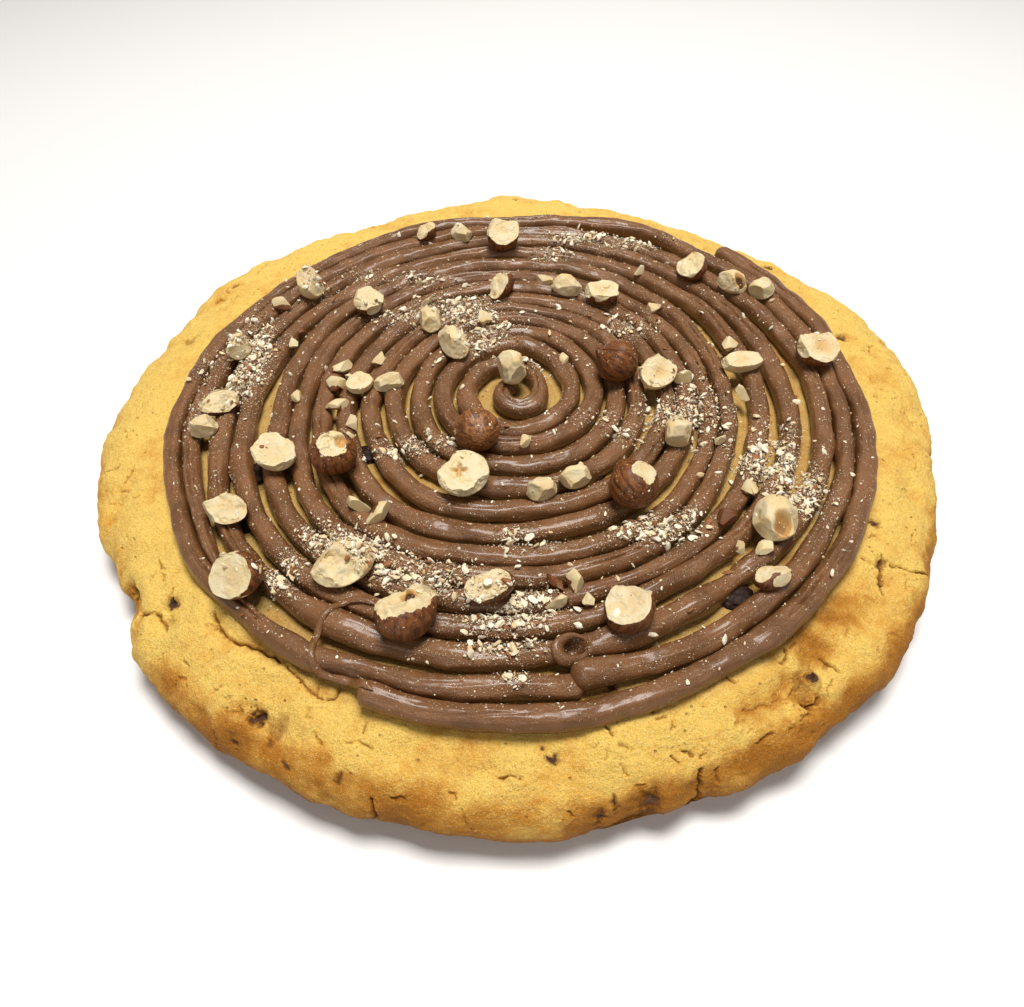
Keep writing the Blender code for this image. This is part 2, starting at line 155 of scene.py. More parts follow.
def joined(name, points, faces):  # one object from lists of points, in mm, and of faces
    mesh = bpy.data.meshes.new(name)
    mesh.from_pydata((np.vstack(points) * mm).tolist(), [], np.vstack(faces).tolist())
    item = bpy.data.objects.new(name, mesh)
    bpy.context.scene.collection.objects.link(item)
    return item


def finishPiece(item, material, slot, *nodes, angle=50):
    pick(item)
    bpy.ops.object.shade_smooth_by_angle(angle=math.radians(angle))
    item.data.materials.clear()
    item.data.materials.append(material)
    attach(item, "root")
    if nodes:
        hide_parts(*nodes)
    return item


# Materials, written as sums of sockets

class Value:
    def __init__(self, finish, socket):
        self.finish = finish
        self.socket = socket

    def maths(self, operation, *others, clamp=False):
        return self.finish.node("ShaderNodeMath", {"operation": operation, "use_clamp": clamp}, (self, *others))

    def __add__(self, other):
        return self.maths("ADD", other)

    def __sub__(self, other):
        return self.maths("SUBTRACT", other)

    def __mul__(self, other):
        return self.maths("MULTIPLY", other)

    def __rsub__(self, other):
        return self.finish.node("ShaderNodeMath", {"operation": "SUBTRACT"}, (other, self))

    __radd__ = __add__
    __rmul__ = __mul__

    def clamp(self):
        return self.maths("ADD", 0.0, clamp=True)


class Finish:
    def __init__(self, name, **constants):
        self.material = bpy.data.materials.new(name)
        self.material.use_nodes = True
        self.nodes = self.material.node_tree.nodes
        self.links = self.material.node_tree.links
        self.shader = self.nodes["Principled BSDF"]
        for key, value in constants.items():
            self.shader.inputs[key.replace("_", " ")].default_value = value

    def node(self, kind, settings, values, output=0):
        node = self.nodes.new(kind)
        for key, value in settings.items():
            setattr(node, key, value)
        for key, value in values.items() if isinstance(values, dict) else enumerate(values):
            self.feed(node.inputs[key], value)
        return Value(self, node.outputs[output])

    def feed(self, socket, value):
        if isinstance(value, Value):
            self.links.new(value.socket, socket)
        elif isinstance(value, tuple) and socket.type == "RGBA":
            socket.default_value = (*value, 1)
        else:
            socket.default_value = value

    def place(self):
        return self.node("ShaderNodeTexCoord", {}, {}, "Object")

    def attribute(self, name, output="Fac"):
        return self.node("ShaderNodeAttribute", {"attribute_name": name}, {}, output)

    def noise(self, vector, scale, detail=2.0, roughness=0.5):
        values = {"Vector": vector, "Scale": scale, "Detail": detail, "Roughness": roughness}
        return self.node("ShaderNodeTexNoise", {}, values)

    def cells(self, vector, scale):  # how far a place is from the middle of its cell
        return self.node("ShaderNodeTexVoronoi", {}, {"Vector": vector, "Scale": scale}, "Distance")

    def range(self, value, low, high, toLow=0.0, toHigh=1.0):
        settings = {"interpolation_type": "SMOOTHSTEP"}
        return self.node("ShaderNodeMapRange", settings, (value, low, high, toLow, toHigh))

    def mix(self, factor, first, second, blend="MIX"):
        settings = {"data_type": "RGBA", "blend_type": blend, "clamp_factor": True}
        return self.node("ShaderNodeMix", settings, {0: factor, 6: first, 7: second}, 2)

    def layers(self, colour, *coats):  # each coat: where it lies, and its colour
        for factor, coat in coats:
            colour = self.mix(factor, colour, coat)
        return colour

    def bump(self, height, strength, distance):
        return self.node("ShaderNodeBump", {}, {"Height": height, "Strength": strength, "Distance": distance})

    def dress(self, **sockets):
        for key, value in sockets.items():
            self.feed(self.shader.inputs[key.replace("_", " ")], value)
        return self.material


def crustFinish():
    crust = Finish("baked_crust", Subsurface_Weight=0.10, Subsurface_Scale=0.0015, IOR=1.4,
                   Subsurface_Radius=(1.0, 0.55, 0.25), Specular_IOR_Level=0.22)
    place = crust.place()
    toast, stain, crack, under = (crust.attribute(name) for name in ("toast", "stain", "crack", "under"))
    patches = crust.noise(place, 38, 3, 0.6)
    blotches = crust.noise(place, 120, 3, 0.6)
    mottle = crust.noise(place, 300, 5, 0.7)
    grain = crust.noise(place, 1300, 4, 0.75)
    speck = crust.noise(place, 3000, 2, 0.7)
    uneven = (patches - 0.53) * 1.9 + (blotches - 0.5) * 1.5 + (mottle - 0.5) * 1.6
    # the toast colours are browning and partly painted shade: on the low rim, in the hollows and at the back
    deep = crust.range(toast + uneven * 0.28, 0.35, 1.15)
    some = crust.range(crust.noise(place, 150, 2, 0.5), 0.50, 0.60)
    pores = crust.range(crust.cells(place, 420), 0.19, 0.08) * some
    golden = crust.layers(
        (0.96, 0.645, 0.146),
        ((toast * 0.9 + uneven + (grain - 0.5) * 1.2).clamp(), (0.75, 0.325, 0.036)),
        (deep, (0.40, 0.146, 0.011)),
        (crust.range(toast + uneven * 0.2, 1.0, 1.9), (0.22, 0.078, 0.006)),
        (crust.range(grain, 0.53, 0.68, 0, 0.6) * (1 - deep * 0.8), (0.99, 0.74, 0.27)),
        (crust.range(grain, 0.49, 0.34, 0, 0.5), (0.66, 0.285, 0.035)),
        (crust.range(speck, 0.54, 0.70, 0, 0.6) * (1 - deep * 0.7), (1.0, 0.80, 0.36)),
        (crust.range(speck, 0.46, 0.30, 0, 0.6), (0.56, 0.23, 0.025)),
        (pores * 0.5, (0.34, 0.13, 0.018)),
        # painted shade in the cracks and creases
        (crust.range(crack + (grain - 0.5) * 0.6, 0.35, 0.9, 0, 0.75), (0.26, 0.095, 0.014)))
    # a chip's melted edge, then the chip, then the shade between the ropes
    halo = crust.range(stain + (mottle - 0.5) * 0.9, 0.10, 0.60)
    golden = crust.mix(halo, golden, (0.62, 0.56, 0.55), "MULTIPLY")
    chip = crust.mix(crust.range(mottle, 0.44, 0.62), (0.045, 0.020, 0.012), (0.17, 0.085, 0.045))
    golden = crust.mix(crust.range(stain + (mottle - 0.5) * 1.5, 0.58, 0.86), golden, chip)
    golden = crust.mix(under * 0.9, golden, (0.64, 0.60, 0.78), "MULTIPLY")
    bump = crust.bump(grain * 0.9 + mottle * 1.1 + speck * 0.35 - pores * 0.7, 1.0, 0.00095)
    return crust.dress(Base_Color=golden, Roughness=0.74 - (mottle - 0.5) * 0.4, Normal=bump)


def spreadFinish():
    spread = Finish("chocolate_spread", IOR=1.5, Coat_Weight=0.33, Coat_Roughness=0.20,
                    Specular_Tint=(1.0, 0.89, 0.76, 1))
    place = spread.place()
    dust = spread.attribute("dust")
    tone = spread.noise(place, 110, 3, 0.55)
    grain = spread.noise(place, 2700, 2, 0.65)
    fine = spread.noise(place, 800, 3, 0.6)
    few = spread.range(spread.noise(place, 500, 2, 0.6) + dust * 0.30, 0.54, 0.66)
    specks = spread.range(spread.cells(place, 1500), 0.30, 0.16) * few
    brown = spread.mix(spread.range(tone, 0.3, 0.7), (0.128, 0.0505, 0.0145), (0.205, 0.086, 0.029))
    brown = spread.mix(specks * 0.85, brown, (0.74, 0.60, 0.40))
    bump = spread.bump(grain * 1.2 + fine * 0.6 + specks * 0.8, 1.0, 0.00026)
    return spread.dress(Base_Color=brown, Roughness=0.36 + (grain - 0.5) * 0.6 + dust * 0.08, Normal=bump)


def nutFinish():
    nut = Finish("hazelnut", Subsurface_Weight=0.15, Subsurface_Scale=0.0015, IOR=1.45,
                 Subsurface_Radius=(1.0, 0.8, 0.5))
    place = nut.place()
    lengthwise = nut.attribute("lengthwise", "Vector")  # drawn out along the kernel
    skin, shade, outside = (nut.attribute(name) for name in ("skin", "shade", "outside"))
    fleck = nut.noise(place, 700, 3, 0.6)
    fibre = nut.noise(lengthwise, 5.0, 4, 0.65)
    edge = nut.noise(place, 1100, 3, 0.7)
    cream = nut.noise(place, 230, 3, 0.6)
    flesh = nut.layers(
        (0.63, 0.49, 0.25),
        (nut.range(cream + (fleck - 0.5) * 0.5, 0.36, 0.62), (0.655, 0.56, 0.355)),
        (nut.range(outside + (cream - 0.5) * 1.6, 0.3, 1.1, 0, 0.25), (0.74, 0.47, 0.17)),
        ((shade * 1.2).clamp(), (0.55, 0.31, 0.09)),
        # the dark of a deep hollow: melted chocolate and painted shade
        (nut.range(shade, 1.0, 1.8), (0.085, 0.032, 0.012)),
        (nut.range(edge, 0.69, 0.80, 0, 0.7), (0.40, 0.18, 0.06)))
    paler = nut.mix(nut.range(fibre, 0.38, 0.60), (0.13, 0.040, 0.010), (0.42, 0.185, 0.055))
    brown = nut.layers(
        (0.055, 0.014, 0.003),
        (nut.range(fibre, 0.34, 0.64), (0.22, 0.073, 0.014)),
        (nut.range(shade, 0.3, 0.7, 0, 0.7), paler),
        (nut.range(fleck, 0.62, 0.8, 0, 0.5), (0.50, 0.26, 0.10)))
    covered = nut.range(skin + (edge - 0.5) * 0.55, 0.42, 0.56)
    bump = nut.bump(covered * 0.6 + fibre * covered * 0.8 + fleck * 0.6 + edge * 0.25, 0.7, 0.00022)
    return nut.dress(Base_Color=nut.mix(covered, flesh, brown), Roughness=0.62 - covered * 0.12, Normal=bump)


def crumbFinish():
    crumb = Finish("chopped_hazelnut", Subsurface_Weight=0.1, Subsurface_Scale=0.0008, IOR=1.45)
    fleck = crumb.noise(crumb.place(), 1300, 2, 0.6)
    flesh = crumb.mix(crumb.attribute("shade"), (0.84, 0.76, 0.60), (0.70, 0.52, 0.27))
    brown = crumb.mix(fleck, (0.14, 0.04, 0.012), (0.40, 0.16, 0.05))
    covered = crumb.range(crumb.attribute("skin") + (fleck - 0.5) * 0.5, 0.45, 0.55)
    bump = crumb.bump(fleck, 0.5, 0.00015)
    return crumb.dress(Base_Color=crumb.mix(covered, flesh, brown), Roughness=0.66 - fleck * 0.1, Normal=bump)


# near black: melted chocolate, and painted shade in the deep gaps between the ropes
def darkFinish():
    dark = Finish("dark_chocolate_and_shade", IOR=1.3)
    lumps = dark.noise(dark.place(), 900, 3, 0.6)
    colour = dark.mix(dark.range(lumps, 0.4, 0.7), (0.010, 0.004, 0.002), (0.040, 0.016, 0.007))
    return dark.dress(Base_Color=colour, Roughness=0.75 - lumps * 0.2, Normal=dark.bump(lumps, 0.4, 0.0001))


print("mixing the finishes")
crust = crustFinish()
chocolate = spreadFinish()
darkChocolateAndShade = darkFinish()
hazelnut = nutFinish()
choppedNut = crumbFinish()


# The cookie: a disc of ten inches with a rounded, lumpy rim

spreadCentre = np.array((0.7, -6.9, 0.0))  # in mm, like every measure below

cookie = dict(
    radius=127.8, thickness=20, rimWidth=21, widest=9, undercut=5.5, lumps=0.9,
    around=420, topRows=56, rimRows=34, underRows=8, baseRows=3,
    finerFrom=103.5, finerReach=(1.9, 1.1),  # where the mesh is cut finer: past this radius, and near a crack
    rimFrom=98, rimWithin=8,  # the small bumps grow from this radius on, and are full so much further out
    shaded=107,  # the ropes shade the crust within this reach of their centre
    # small bumps: height, how many for each mm, seed, how much of them on the top, how much more on the rim
    bumps=((0.60, 0.13, 3, 0.3, 1), (0.36, 0.36, 5, 1, 0), (1.05, 0.065, 13, 0, 1), (0.13, 0.9, 8, 0.3, 1),
           (0.07, 1.9, 9, 0.3, 1)),
    # direction, spread in degrees, rise in mm
    swells=((4, 12, 4.2), (20, 12, 4.4), (53, 17, -3), (90, 6, 5.6), (124, 16, -1.4), (146, 13, 5.2),
            (183, 14, 3), (210, 8, -2.8), (262, 40, 1.2), (315, 10, 1.8)),
    # direction, inset from the edge, size, depth
    crags=((198, 7, 5, 1.4), (214, 1, 7, 2.4), (221, 11, 5, 2.2), (240, 7, 7, 2.2), (258, 13, 6, 1),
           (264, 9, 6, 1), (273, 11, 4, 1.2), (280, 1, 5, 2), (287, 0, 3.6, 2.8), (303, 7, 7, 2.2),
           (312, 20, 6, 1.1), (308, 14, 8, 1.8), (323, 12, 5, 1.4), (338, 10, 5, 1.2), (28, 7, 8, 1.8),
           (75, 8, 7, 1.6), (118, 7, 8, 2), (165, 9, 7, 1.6)),
    # chocolate chips that show through the crust: x, y, radius, depth, how dark
    chips=((-89.6, -75.6, 2, 1.6, 1), (-89, -80, 2.2, 0.8, 0.45), (-103.5, -69, 1.8, 1.5, 0.9),
           (-62.2, -105.8, 1.8, 1.6, 0.85), (-57.4, -107.2, 3.6, 0.4, 0.6), (-58.9, -111.3, 1.4, 0.6, 0.9),
           (-67.8, -110, 1.3, 0.5, 0.9), (2.6, -115.7, 0.9, 0.5, 0.9), (5.3, -117.8, 1.5, 0.7, 0.9),
           (18.1, -125.7, 1.3, 0.6, 0.9), (26, -126, 2.8, 0.9, 0.68), (14.6, -128.6, 1.7, 0.7, 0.9),
           (67.4, -99.6, 2.2, -0.5, 0.95), (64.6, -103.4, 2.2, 1.4, 0.5), (64, -101, 3, 1, 0.45),
           (94.9, -56.2, 1.8, 1, 0.9), (91, -74.5, 1.6, 1, 0.8), (92.6, -69, 1.8, 0.9, 0.6),
           (74.4, -83.2, 3.6, 0.3, 0.35), (19.4, -102.6, 1.6, 0.2, 0.8), (-54.7, -115.7, 1, 0.5, 0.8),
           (-42, -119.4, 1, 0.5, 0.8), (71, -96.5, 1.6, 0.7, 0.5), (110, 22, 2.2, 1, 0.8),
           (96, 66, 1.8, 0.8, 0.8), (35, 112, 2.4, 1, 0.85), (-58, 103, 2, 0.9, 0.8),
           (-112, 30, 2.2, 0.9, 0.85), (-104, 61, 1.6, 0.7, 0.8), (2, 118, 1.6, 0.8, 0.8)),
    # cracks and creases in the crust: width, depth, then the points x, y that it runs through
    cracks=((0.7, 1, (17, -111.4), (18.1, -113.2)), (0.6, 0.7, (19.3, -114.9), (21.6, -116)),
            (0.7, 0.9, (33.5, -116.3), (36.4, -117.1)), (0.6, 0.8, (31, -117.4), (32.6, -118.5)),
            (0.7, 0.9, (-6.6, -120.9), (-4, -120.6), (-1.9, -121.5)), (0.6, 0.7, (7.7, -127.3), (8.8, -128.2)),
            (1.1, 1.6, (37.4, -120), (37.2, -124)), (0.7, 0.8, (61.7, -109.2), (64.7, -107.2)),
            (0.7, 0.8, (50.8, -114), (54.4, -111.9)), (0.7, 0.8, (45.4, -99.6), (47.2, -101.5)),
            (0.8, 0.9, (59.7, -96.6), (61.8, -94.6), (61.8, -92.7)), (0.9, 1, (70.5, -93.9), (73.1, -98)),
            (2, 1.3, (70, -92.9), (64.2, -102.2), (55.2, -106.4), (48.9, -108)),
            (1.6, 1.9, (-104.6, -68), (-97.9, -77.3), (-98.1, -82)),
            (1.2, 1.4, (-98.8, -77), (-92.4, -78.5), (-89.3, -82.6)),
            (1.5, 1.6, (-77, -79.5), (-75.6, -83.7), (-70.7, -87.9), (-64, -89.8), (-58.9, -92.6)),
            (1.1, 0.9, (-56.2, -94.7), (-49.6, -101.4), (-47, -103.4), (-44.1, -102.6), (-43.4, -100)),
            (1.3, 1.1, (-70.1, -103.9), (-66, -104.6), (-61.4, -106)),
            (0.7, 0.8, (-48.1, -110.1), (-47.6, -111.6), (-46.2, -112.9)),
            (0.7, 0.7, (-40.8, -112.8), (-37.5, -113), (-34.7, -114.3)),
            (1, 1.4, (-34.4, -124.1), (-33.9, -127.6)), (0.8, 0.9, (-29.9, -123.6), (-27.3, -124.7)),
            (1.2, 1.3, (93.2, -66.6), (91.8, -72), (90.6, -77)),
            (1, 1.2, (95, -69.6), (101, -70.4), (106.1, -69.9)), (0.8, 0.8, (87.5, -68), (89.4, -69.6)),
            (0.9, 0.7, (115.4, -30.9), (113.5, -36.7)),
            (1.3, 1.8, (63.2, -104.9), (65.2, -105.6), (67.2, -105.3), (67.6, -103.7)),
            (1.8, 0.9, (-105, -35.1), (-104.3, -42.4)), (1.4, 0.9, (-115.1, -41.2), (-115.7, -45.9)),
            (1, 0.8, (-96.5, -62.4), (-95, -64.8))),
    # more of them, then finer ones: how many, between which directions, length, width and depth
    moreCracks=((26, (-28, 195), (2.5, 8), (0.7, 1.5), (0.6, 1.3)),
                (110, (0, 360), (1.2, 3), (0.45, 0.7), (0.35, 0.75))),
    seed=21,
    # how brown the edge is, partly painted shade on the low rim: direction, how much, how far in
    edgeBrownAndShade=((-180, 0.4, 6), (-150, 0.5, 6), (-135, 0.8, 6), (-122, 0.95, 7), (-111, 1, 8.5), (-103, 1, 8.5),
               (-95, 0.9, 7), (-89, 0.7, 6), (-81, 0.75, 6.5), (-75, 0.85, 7), (-68, 0.95, 7), (-60, 1.05, 8),
               (-49, 1, 8), (-30, 0.7, 6), (-15, 0.45, 5), (20, 0.4, 5), (90, 0.3, 6), (180, 0.4, 6)),
    # patches that have browned more, some of them painted shade beside the ropes and folds: x, y, reach, how much
    brownedAndShaded=((48.5, -107, 5.5, 0.35), (53, -111, 5, 0.2), (58, -97.5, 7, 0.30), (68.5, -90.5, 8, 0.35),
             (77, -84, 7, 0.40), (-66, -107, 6, 0.35), (-66.6, -87.6, 4, 0.35), (-47.7, -102, 4, 0.3),
             (-10.9, -117.4, 6, 0.15), (110, -37, 9, 0.15)),
)


def distanceToCrack(places, points):  # in the plane, from a line of straight stretches
    nearest = np.full(len(places), np.inf)
    for start, end in zip(points, points[1:]):
        along = np.subtract(end, start)
        share = np.clip(((places - start) @ along) / max(along @ along, 1e-9), 0, 1)
        nearest = np.minimum(nearest, np.linalg.norm(places - start - share[:, None] * along, axis=1))
    return nearest


def turnFrom(middle, degrees):  # how far a direction has turned past another, from -180 to 180
    return (degrees - middle + 180) % 360 - 180


def outlineRadius(degrees):
    rise = 0.0
    for middle, spread, height in cookie["swells"]:
        rise += height * math.exp(-((turnFrom(middle, degrees) / spread) ** 2))
    turn = math.radians(degrees)
    return cookie["radius"] + rise + wavy(2.2 * math.cos(turn), 2.2 * math.sin(turn), 5.0)


def rimProfile():  # distance from the axis and height of each row, from the top's middle to the base's
    radius, top, widest, undercut = (cookie[key] for key in ("radius", "thickness", "widest", "undercut"))
    plateau = radius - cookie["rimWidth"]
    rows = [(plateau * i / cookie["topRows"], top) for i in range(cookie["topRows"])]
    for i in range(cookie["rimRows"]):
        turn = math.pi / 2 * i / cookie["rimRows"]
        rows.append((plateau + cookie["rimWidth"] * math.sin(turn), widest + (top - widest) * math.cos(turn)))
    for i in range(cookie["underRows"]):
        turn = math.pi / 2 * i / cookie["underRows"]
        rows.append((radius - undercut * (1 - math.cos(turn)), widest * (1 - math.sin(turn))))
    rings = cookie["baseRows"]
    return rows + [((radius - undercut) * (1 - i / rings), 0.0) for i in range(rings + 1)]


def bakedPlace(turn, radius, height):  # where a point of the plain disc lies once it is baked, in mm
    across, up = math.cos(turn), math.sin(turn)
    place = Vector((radius * across, radius * up, height)) * mm
    degrees = math.degrees(turn) % 360
    onRim = smooth((radius - cookie["radius"] + cookie["rimWidth"] - 3) / 10)
    lump = noise.noise(Vector((place.x, place.y, 1.6 * place.z)) * 70)
    fine = noise.noise(Vector((place.x, place.y, 2 * place.z)) * 160)
    push = onRim * cookie["lumps"] * (lump + 0.5 * fine)
    if height > 0.3 * cookie["widest"]:
        for middle, depthIn, size, depth in cookie["crags"]:
            along = math.radians(turnFrom(middle, degrees)) * radius
            away = math.hypot(along, cookie["radius"] - radius - depthIn) / size
            if away < 3:
                push -= depth * math.exp(-(away**2))
    level = smooth((height - 0.1 * cookie["widest"]) / cookie["thickness"])
    newRadius = radius * outlineRadius(degrees) / cookie["radius"] + push * (1 - level)
    newHeight = height + push * level if height > 0 else 0
    return newRadius * across, newRadius * up, newHeight


def crackLines():  # the seen cracks, then more of their kind
    lines = [(width, depth, points) for width, depth, *points in cookie["cracks"]]
    draw = random.Random(cookie["seed"])
    for count, directions, lengths, widths, depths in cookie["moreCracks"]:
        for _ in range(count):
            degrees = draw.uniform(*directions)
            radius = outlineRadius(degrees) - draw.uniform(-1, 17)
            heading = draw.uniform(0, 360)
            step = draw.uniform(*lengths) / 3
            x, y = radius * math.cos(math.radians(degrees)), radius * math.sin(math.radians(degrees))
            points = [(x, y)]
            for _ in range(3):
                heading += draw.uniform(-50, 50)
                x += step * math.cos(math.radians(heading))
                y += step * math.sin(math.radians(heading))
                points.append((x, y))
            lines.append((draw.uniform(*widths), draw.uniform(*depths), points))
    return lines


def cutFiner(item, chosen):  # subdivides the chosen faces once
    pick(item)
    bpy.ops.object.mode_set(mode="EDIT")
    bpy.ops.mesh.select_mode(type="FACE")
    bpy.ops.mesh.select_all(action="DESELECT")
    bpy.ops.object.mode_set(mode="OBJECT")
    item.data.polygons.foreach_set("select", chosen)
    bpy.ops.object.mode_set(mode="EDIT")
    bpy.ops.mesh.subdivide(number_cuts=1, smoothness=0.5)
    bpy.ops.object.mode_set(mode="OBJECT")


def faceCentres(mesh):
    centres = np.empty(len(mesh.polygons) * 3, np.float32)
    mesh.polygons.foreach_get("center", centres)
    return centres.reshape(-1, 3).astype(float) / mm


def makeCookie():
    rows = rimProfile()
    item, grid = addGrid("cookie_crust", cookie["around"], len(rows) - 1)
    mesh = item.data
    places = np.array([bakedPlace(2 * math.pi * u, *rows[round(v * (len(rows) - 1))]) for u, v in grid])
    places[:, :2] -= (places[:, :2].min(0) + places[:, :2].max(0)) / 2
    setPoints(mesh, places * mm)
    closeSeams(item)
    # the rim is cut finer, and twice more where it has cracked
    centres = faceCentres(mesh)
    cutFiner(item, (np.hypot(centres[:, 0], centres[:, 1]) > cookie["finerFrom"]) & (centres[:, 2] > 0.02))
    lines = crackLines()
    for reach in cookie["finerReach"]:
        centres = faceCentres(mesh)
        near = np.zeros(len(centres), bool)
        for _, _, points in lines:
            near |= distanceToCrack(centres[:, :2], points) < reach
        cutFiner(item, near & (centres[:, 2] > 1))
    places = pointsOf(mesh) / mm
    flat = places[:, :2]  # it follows the places as they move
    normals = np.array([vertex.normal for vertex in mesh.vertices])
    radii = np.linalg.norm(flat, axis=1)
    above = np.clip((places[:, 2] - 1.5) / 3, 0, 1)
    push, crack, stain = np.zeros((3, len(places)))
    warp = np.array([noise.noise_vector(Vector(place) * 0.4) * 0.7 + noise.noise_vector(Vector(place) * 1.3) * 0.35
                     for place in places])[:, :2]
    for width, depth, points in lines:
        near = np.linalg.norm(flat - np.mean(points, axis=0), axis=1) < 30
        away = distanceToCrack(flat[near] + warp[near], points)
        broken = np.clip(1.15 + 1.5 * warp[near][:, 0], 0.25, 1)  # it opens and closes along its length
        broad = width > 1.2  # a fold: a sharp line at the foot of a soft swelling
        sharp = 0.36 if broad else 0.22 + 0.2 * width
        mark = 0.4 if broad and depth < 1.5 else 1.0  # shallow folds are hardly darker
        line = broken * mark * np.exp(-((away / sharp) ** 2))
        push[near] -= 0.9 * depth * line
        if broad:
            push[near] -= 0.5 * depth * np.exp(-((away / (1.5 * width)) ** 2))
            push[near] += 0.35 * depth * np.exp(-(((away - 2.4 * width) / (1.2 * width)) ** 2))
        # the crack's dark mark is painted shade in the crevice
        crack[near] = np.maximum(crack[near], line * min(1, 0.32 + depth / 1.6))
    for x, y, size, depth, dark in cookie["chips"]:
        away = np.linalg.norm(flat + 2 * warp - (x, y), axis=1) / (0.85 * size)
        push -= depth * np.exp(-(away**3))
        stain = np.maximum(stain, dark * np.exp(-(away**4)))
    for index, place in enumerate(places):
        if place[2] < 0.01:
            continue
        rim = smooth((radii[index] - cookie["rimFrom"]) / cookie["rimWithin"])
        for height, scale, seed, onTop, more in cookie["bumps"]:
            push[index] += height * rough(place, scale, seed) * (onTop + more * rim)
        push[index] -= 0.45 * max(0, rough(place, 0.6, 11) - 0.42) * rim  # pits
    push *= above
    places += normals * push[:, None]
    places[:, 2] = np.maximum(places[:, 2], 0)
    keepInside(places, "cookie")
    setPoints(mesh, places * mm)
    # browner towards the edge, most of all at the front; on the low rim, in the hollows, at the rim's foot and at the
    # back part of this is painted shade
    bearing = np.degrees(np.arctan2(places[:, 1], places[:, 0]))
    edge = np.interp(bearing, range(-180, 181, 2), [outlineRadius(turn) for turn in range(-180, 181, 2)])
    turns, amounts, reaches = np.array(cookie["edgeBrownAndShade"], float).T
    share = np.clip((edge - radii) / np.interp(bearing, turns, reaches), 0, 1)
    toast = (1 - share * share * (3 - 2 * share)) * np.interp(bearing, turns, amounts)
    # painted shade: the hollows are browner and darker
    toast += np.clip(-push * 0.4, -0.15, 0.4)  # the hollows
    toast += 0.22 * (0.5 + 0.5 * np.cos(np.radians(bearing + 28))) ** 2  # the right side
    # painted shade, with the browning of the base: the foot of the rim is darker
    toast += 1.1 * np.clip(1 - places[:, 2] / (cookie["widest"] + 1), 0, 1)  # the foot of the rim
    # painted shade: the back is darker
    toast += 0.10 * np.clip(places[:, 1] / 100, 0, 1)  # the back
    # browned patches, partly painted shade
    for x, y, size, amount in cookie["brownedAndShaded"]:
        away = np.linalg.norm(flat + 2 * warp - (x, y), axis=1) / size
        toast += amount * np.exp(-(away**2))
    toast[normals[:, 2] < -0.5] = 1.1  # the underside
    fromSpread = np.linalg.norm(flat - spreadCentre[:2], axis=1)
    under = np.clip((cookie["shaded"] - fromSpread) / 5, 0, 1)
    setAttributes(item, under=under, toast=toast, stain=stain * above, crack=crack * above)
    return finishPiece(item, crust, "dough", "cookie", angle=60)


print("baking the cookie")
cookieCrust = makeCookie()


# The spread: a piped rope whose rings lean on each other

